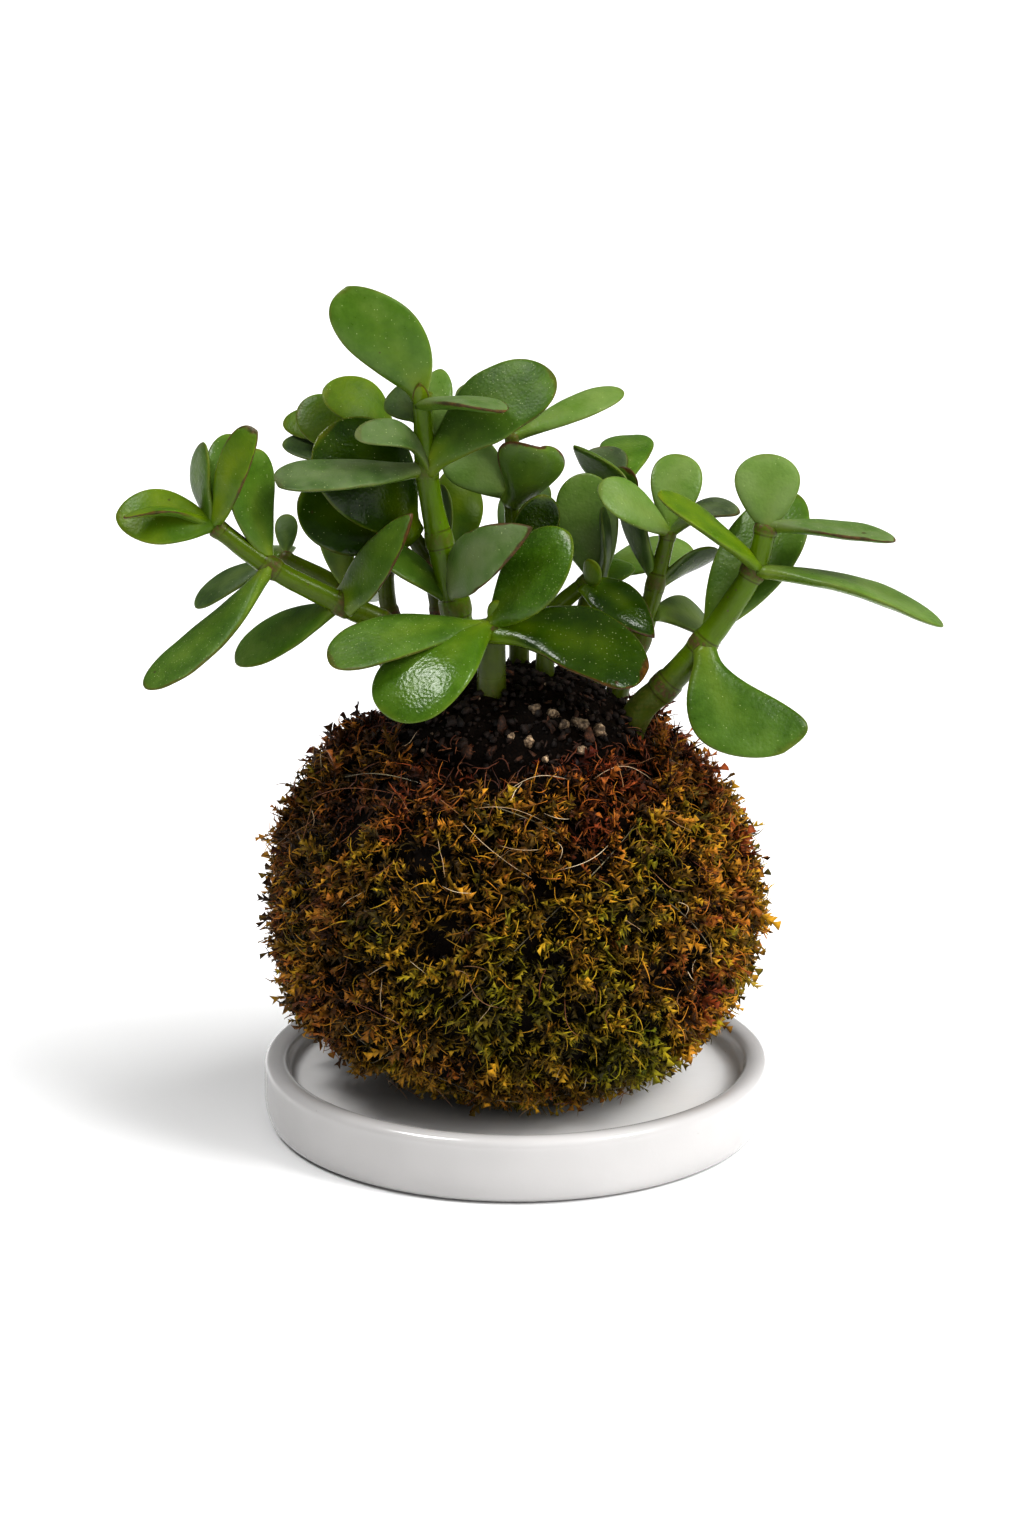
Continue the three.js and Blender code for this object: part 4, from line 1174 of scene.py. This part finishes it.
# Long strands that show in front: their ends, in millimetres from the ball's centre, how far they bow
# sideways and how pale they are.
STRANDS = (
    ((-12, -46, 33), (3.4, -53, 22), 1.0, 0.85),
    ((-10, -45, 36), (6, -47, 34), -1.2, 0.8),
    ((-16, -52, 20), (-9, -54, 19), 0.6, 0.9),
    ((-52, -14, 28), (-27, -37, 37), -2.0, 0.5),
    ((-32, -45, 20), (-26, -46, 24), 1.0, 0.5),
    ((6, -46, 36), (12, -46, 34), 1.2, 0.9),
    ((9, -50, 30), (9.5, -52, 26), -0.8, 0.9),
    ((9, -53, 24), (21, -49, 29), 1.2, 0.95),
    ((-2, -42, 40), (12, -40, 43), -1.5, 0.9),
    ((18, -38, 42), (32, -30, 40), -2.4, 0.85),
    ((-4, -52, 30), (6, -52, 29), 1.0, 0.8),
    ((30, -46, 22), (38, -42, 16), 2.0, 0.6),
    ((36, -44, 14), (37, -42, 10), -0.8, 0.9),
    ((40, -38, 22), (46, -32, 20), 2.5, 0.45),
    ((-40, -40, -10), (-22, -50, -14), -3.0, 0.35),
    ((-10, -53, 2), (-2, -54, -6), 2.0, 0.6),
    ((10, -53, -4), (14, -52, -14), 1.6, 0.5),
)


STRAND_RADIUS = 0.085
STRAND_POINTS = 16
SOIL_FIBRES = 520
STRAY_STRANDS = 170


def strand_path(start, end, bow):
    """A wavy path over the moss between two places, bowed sideways."""
    share = np.linspace(0, 1, STRAND_POINTS)[:, None]
    start, end = np.array(start, float), np.array(end, float)
    path = start + (end - start) * share
    path += bow * np.sin(math.pi * share) * unit(np.cross(end - start, start))
    path += 0.35 * np.sin(share * 13 + bow) * unit(start)
    way = unit(path)
    return on_ball(way, ball_reach(way) + lumps(way) + 1.8 + 1.6 * np.sin(math.pi * share[:, 0]))


def make_fibres(material):
    """Dead roots and stalks on the soil's edge, and long pale strands over the moss."""
    shape = Shape()
    for _ in range(SOIL_FIBRES):
        add_stray(
            shape, (0.55 * OPENING_ANGLE, 1.5 * OPENING_ANGLE), (-0.6, 1.6),
            lambda rise, share: rise * np.sin(math.pi * share) - 0.7,
            lengths=(3, 9), steps=8, waviness=0.35, radii=(0.1, 0.22), straws=(0, 0.55),
        )
    shape.make("soil_fibres", material, "soil", "soil_ball")

    shape = Shape()
    for start, end, bow, straw in STRANDS:
        add_strand(shape, strand_path(start, end, bow), STRAND_RADIUS, straw, 5)
    for _ in range(STRAY_STRANDS):
        add_stray(
            shape, (OPENING_ANGLE, 2.4), (1.5, 3.6), lambda rise, share: 1.2 + rise * share * share,
            lengths=(4, 11), steps=7, waviness=0.2, radii=(0.07, 0.14), straws=(0.35, 1.0),
        )
    shape.make("loose_strands", material, "moss", "moss_wrap")


THREAD_POINTS = 240
THREAD_RADIUS = 0.14
THREAD_WAVES = 9
THREAD_WAVE = 1.1


def make_thread(material):
    """Three loops of thread that hold the moss on."""
    tilt = np.array([
        [1, 0, 0],
        [0, math.cos(THREAD_TILT), -math.sin(THREAD_TILT)],
        [0, math.sin(THREAD_TILT), math.cos(THREAD_TILT)],
    ])
    angles = circle(THREAD_POINTS)
    flat = np.stack([np.cos(angles), np.sin(angles), 0 * angles], axis=-1)
    shape = Shape()
    for i in range(THREAD_LOOPS):
        turn = FIRST_THREAD_TURN + 2 * math.pi * i / THREAD_LOOPS
        c, s = math.cos(turn), math.sin(turn)
        way = flat @ (np.array([[c, -s, 0], [s, c, 0], [0, 0, 1]]) @ tilt).T
        path = on_ball(way, ball_reach(way) - 0.2 + THREAD_WAVE * np.sin(THREAD_WAVES * angles + i))
        shape.add_loft(tube(path, THREAD_RADIUS, 6, closed=True))
    shape.make("nylon_loops", material, "thread", "binding_thread")


# ------------------------------------------------------------------ stems and leaves
def curve_through(points, steps):
    """A centripetal Catmull-Rom curve through points, with steps places for each span."""
    points = np.array(points, float)
    ends = 2 * points[0] - points[1], 2 * points[-1] - points[-2]
    points = np.concatenate([ends[:1], points, ends[1:]])
    places = []
    for before, first, second, after in zip(points, points[1:], points[2:], points[3:]):
        gaps = (first - before, second - first, after - second)
        d0, d1, d2 = (math.sqrt(np.linalg.norm(gap)) for gap in gaps)
        leave = (first - before) / d0 - (second - before) / (d0 + d1) + (second - first) / d1
        arrive = (second - first) / d1 - (after - first) / (d1 + d2) + (after - second) / d2
        leave, arrive = leave * d1, arrive * d1
        for t in np.linspace(0, 1, steps, endpoint=False):
            shape = (2 * first - 2 * second + leave + arrive) * t**3
            places.append(shape + (-3 * first + 3 * second - 2 * leave - arrive) * t * t + leave * t + first)
    return np.array([*places, points[-2]])


STEM_STEPS = 14
STEM_SIDES = 24


def stem_radii(foot, top, along, spans, off):
    """A stem's radii: tapered to its root, swollen at its nodes, with a raised and a sunken ring by each.

    along counts spans from the rooted end, the first of them in the soil, and off is how far a place is
    from the nearest node.
    """
    rooted = foot * (ROOT_TAPER + (1 - ROOT_TAPER) * along)
    radii = np.where(along < 1, rooted, foot + (top - foot) * np.clip((along - 1) / spans, 0, 1))
    radii = radii * (1 + NODE_SWELLING * np.exp(-((off / 2.4) ** 2)))
    return radii + 0.16 * np.exp(-(((off - 1.7) / 0.5) ** 2)) - 0.12 * np.exp(-(((off - 2.8) / 0.4) ** 2))


def per_point(values, ends):
    """Numbers for the points of a loft: those of its rings, then those of its two ends."""
    return np.concatenate([np.ravel(values), ends])


def add_stem(shape, foot, top, look, nodes):
    """A stem from its rooted end to its top, swollen and scarred at its nodes."""
    x, y, z = nodes[0]
    root = (x * (1 - ROOT_PULL), y * (1 - ROOT_PULL), z - ROOT_DEPTH)
    path = curve_through([root, *nodes], STEM_STEPS)
    along = np.arange(len(path)) / STEM_STEPS
    travelled = np.concatenate([[0], np.cumsum(np.linalg.norm(np.diff(path, axis=0), axis=1))])
    joints = travelled[STEM_STEPS * 2 :: STEM_STEPS]
    off = np.min(np.abs(travelled[:, None] - joints[None, :]), axis=1)
    spans = len(nodes) - 1
    rings = tube(path, stem_radii(foot, top, along, spans, off), STEM_SIDES)
    waves = lattice_noise(rings.reshape(-1, 3), 4).reshape(rings.shape[:2])[..., None]
    rings = path[:, None] + (rings - path[:, None]) * (0.95 + 0.1 * waves)
    tone, wood = STEM_LOOKS[look]
    shape.add_loft(
        rings, path[0], path[-1] + unit(path[-1] - path[-2]) * top * 0.5,
        stem_share=per_point(np.repeat(np.clip((along - 1) / spans, 0, 1), STEM_SIDES), (0, 1)),
        stem_node=per_point(np.repeat(off, STEM_SIDES), off[[0, -1]]),
        stem_tone=tone,
        stem_wood=wood,
    )


def leaf_outline(share, widest, foot):
    """Half of a leaf's width along its length, as a share of half its full width."""
    def body(s):
        return s ** (LEAF_POWER * widest) * (1 - s) ** (LEAF_POWER * (1 - widest))

    width = body(share) / body(widest)
    foot = np.where(share < widest, foot, 0)
    return (width**6 + foot**6) ** (1 / 6)


LEAF_ROWS = 34
LEAF_COLUMNS = 28
LEAF_WAVE = 0.5


def leaf_section(turns):
    """A leaf's section: places across it, from -1 to 1, and through it, for angles round it."""
    across = np.cos(turns)
    through = 0.53 * np.sign(np.sin(turns)) * np.clip(1 - np.abs(across) ** 2.4, 0, 1) ** 0.62
    return across, through


def leaf_thickness(share, width):
    """How thick a leaf is along its length, rounded off at its tip."""
    nose = np.clip((share - 0.8) / 0.2, 0, 1)
    thick = (LEAF_THICKNESS_LEAST + LEAF_THICKNESS * width) * (1 - LEAF_TIP_THINNING * share**2)
    return thick * np.sqrt(1 - nose**2.5)


def add_leaf(
    shape, start, tip, width, face, look,
    arch=0.05, cup=0.06, foot=0.24, widest=0.65, skew=0.0, pull=(0, 0, 0),
):
    """One fleshy leaf, with gentle waves in its faces and its outline."""
    start, tip = np.array(start, float), np.array(tip, float)
    length = np.linalg.norm(tip - start)
    along = unit(tip - start)
    up = np.array(face, float)
    up = unit(up - along * (up @ along))
    side = np.cross(up, along)
    share = np.sin(np.linspace(0, math.pi / 2, LEAF_ROWS + 1))[:-1]
    turns = circle(LEAF_COLUMNS)
    u, v = leaf_section(turns)
    seed = random.uniform(0, 500)
    edge_waves = lattice_noise(np.stack([share * length, 0 * share + seed, 0 * share], axis=-1), 7) - 0.5
    side_halves = [width / 2 * leaf_outline(share, widest + s * skew, foot) for s in (1, -1)]
    halves = np.where(u > 0, *(np.outer(half * (1 + 0.07 * edge_waves), abs(u)) for half in side_halves))
    half = sum(side_halves) / 2
    swing = np.sin(math.pi * share)
    middle = start + np.outer(share * length, along) + np.outer(arch * length * swing, up)
    middle = middle + np.outer(swing, pull)
    lift = cup * 2 * half[:, None] * u**2 + v * leaf_thickness(share, width)[:, None]
    rings = middle[:, None] + (halves * np.sign(u))[..., None] * side + lift[..., None] * up
    waves = lattice_noise(rings.reshape(-1, 3) + seed, 6.5).reshape(lift.shape) - 0.5
    rings = rings + (waves * LEAF_WAVE * smoothstep(share, 0.1, 0.4)[:, None])[..., None] * up
    tone, yellow, red, speckled, bloom, gloss = LEAF_LOOKS[look]
    from_rim = np.minimum(half[:, None] * (1 - np.abs(u)), (1 - share[:, None]) * length * 0.5)
    shape.add_loft(
        rings, start, tip,
        leaf_share=per_point(np.repeat(share, LEAF_COLUMNS), (0, 1)),
        leaf_rim=per_point(from_rim, (width / 8, 0)),
        leaf_across=per_point(np.abs(u) + 0 * from_rim, (0, 0)),
        leaf_top=per_point(np.tile(smoothstep(np.sin(turns), -0.5, 0.5), LEAF_ROWS), (0.5, 0.5)),
        leaf_tone=tone + random.uniform(-0.05, 0.05),
        leaf_yellow=yellow,
        leaf_red=red,
        leaf_speckled=speckled,
        leaf_bloom=bloom,
        leaf_gloss=gloss,
    )


def make_shoots(leaf_look, stem_look):
    """Each cutting: a piece for its stem and one for its leaves."""
    for name, (stalk, *leaves) in SHOOTS.items():
        shape = Shape()
        add_stem(shape, **stalk)
        shape.make(name + "_stem", stem_look, "plant", name)
        shape = Shape()
        for one in leaves:
            add_leaf(shape, **one)
        shape.make(name + "_leaves", leaf_look, "plant", name)


# ------------------------------------------------------------------ stage, light and camera
TABLE_WIDTH = 80.0
HORIZON_RISE = (0.05, 0.16)
SENSOR_WIDTH = 36
VIEW_HEIGHT = 1536
FOCAL_LENGTH_IN_VIEW = 3174
CAMERA_PLACE = (-1, -774.9, 290.95)
CAMERA_AIM = (-1, 0, 92)


def make_floor(material):
    """A wide pale table under the saucer."""
    mesh = bpy.data.meshes.new("table")
    half = TABLE_WIDTH / 2
    corners = [(-half, -half, 0), (half, -half, 0), (half, half, 0), (-half, half, 0)]
    mesh.from_pydata(corners, [], [(0, 1, 2, 3)])
    mesh.materials.append(material)
    table = bpy.data.objects.new("table", mesh)
    bpy.context.scene.collection.objects.link(table)


def make_sun(name, azimuth, elevation, strength, angle, shines=True):
    """A soft light from an azimuth, 0 from behind the camera and 90 from its right, and an elevation.

    A light that does not shine leaves no highlights on glossy things.
    """
    a, e = math.radians(azimuth), math.radians(elevation)
    towards = Vector((math.sin(a) * math.cos(e), -math.cos(a) * math.cos(e), math.sin(e)))
    light = bpy.data.lights.new(name, "SUN")
    light.energy = strength
    light.angle = math.radians(angle)
    lamp = bpy.data.objects.new(name, light)
    lamp.rotation_euler = towards.to_track_quat("Z", "Y").to_euler()
    lamp.visible_glossy = shines
    bpy.context.scene.collection.objects.link(lamp)


def make_world(near_horizon, overhead):
    """Pale surroundings: how bright they are near the horizon and overhead."""
    world = bpy.data.worlds.new("studio")
    world.use_nodes = True
    tree = world.node_tree
    coordinates = tree.nodes.new("ShaderNodeTexCoord")
    parts = tree.nodes.new("ShaderNodeSeparateXYZ")
    tree.links.new(coordinates.outputs["Generated"], parts.inputs[0])
    rise = tree.nodes.new("ShaderNodeMapRange")
    rise.interpolation_type = "SMOOTHSTEP"
    for socket, value in enumerate((*HORIZON_RISE, near_horizon, overhead), 1):
        rise.inputs[socket].default_value = value
    tree.links.new(parts.outputs[2], rise.inputs[0])
    tree.links.new(rise.outputs[0], tree.nodes["Background"].inputs["Strength"])
    tree.nodes["Background"].inputs["Color"].default_value = (1, 1, 1, 1)
    bpy.context.scene.world = world


def make_camera():
    """The photograph's view: a long lens a little above the plant."""
    data = bpy.data.cameras.new("camera")
    data.sensor_fit = "AUTO"
    data.sensor_width = SENSOR_WIDTH
    data.lens = SENSOR_WIDTH * FOCAL_LENGTH_IN_VIEW / VIEW_HEIGHT
    data.clip_end = 200
    place = Vector(CAMERA_PLACE) * MM
    aim = Vector(CAMERA_AIM) * MM
    camera = bpy.data.objects.new("camera", data)
    camera.location = place
    camera.rotation_euler = (aim - place).to_track_quat("-Z", "Y").to_euler()
    bpy.context.scene.collection.objects.link(camera)
    bpy.context.scene.camera = camera


def main():
    make_saucer(glaze_material())
    # The moss mat's colour is dark peat, darkened further to near black as painted shade between the fronds.
    make_moss_skin(peat_material("moss_peat_and_painted_shade", (4, 2, 1), (26, 14, 5)))
    make_moss(moss_material())
    make_soil_mass(peat_material("soil_peat", (4, 2, 1), (28, 17, 9)))
    make_grains(crumb_material())
    make_fibres(fibre_material())
    make_thread(thread_material())
    make_shoots(leaf_material(), stem_material())
    make_floor(floor_material())
    make_sun("key", azimuth=86, elevation=41, strength=3.3, angle=56, shines=False)
    make_sun("front", azimuth=42, elevation=40, strength=1.5, angle=60, shines=False)
    make_sun("overhead", azimuth=-68, elevation=63, strength=1.8, angle=18)
    make_sun("glint", azimuth=60, elevation=44, strength=0.9, angle=12)
    make_world(near_horizon=0.7, overhead=0.22)
    bpy.context.scene.view_settings.view_transform = "Standard"
    bpy.context.scene.view_settings.gamma = 0.86
    make_camera()


main()
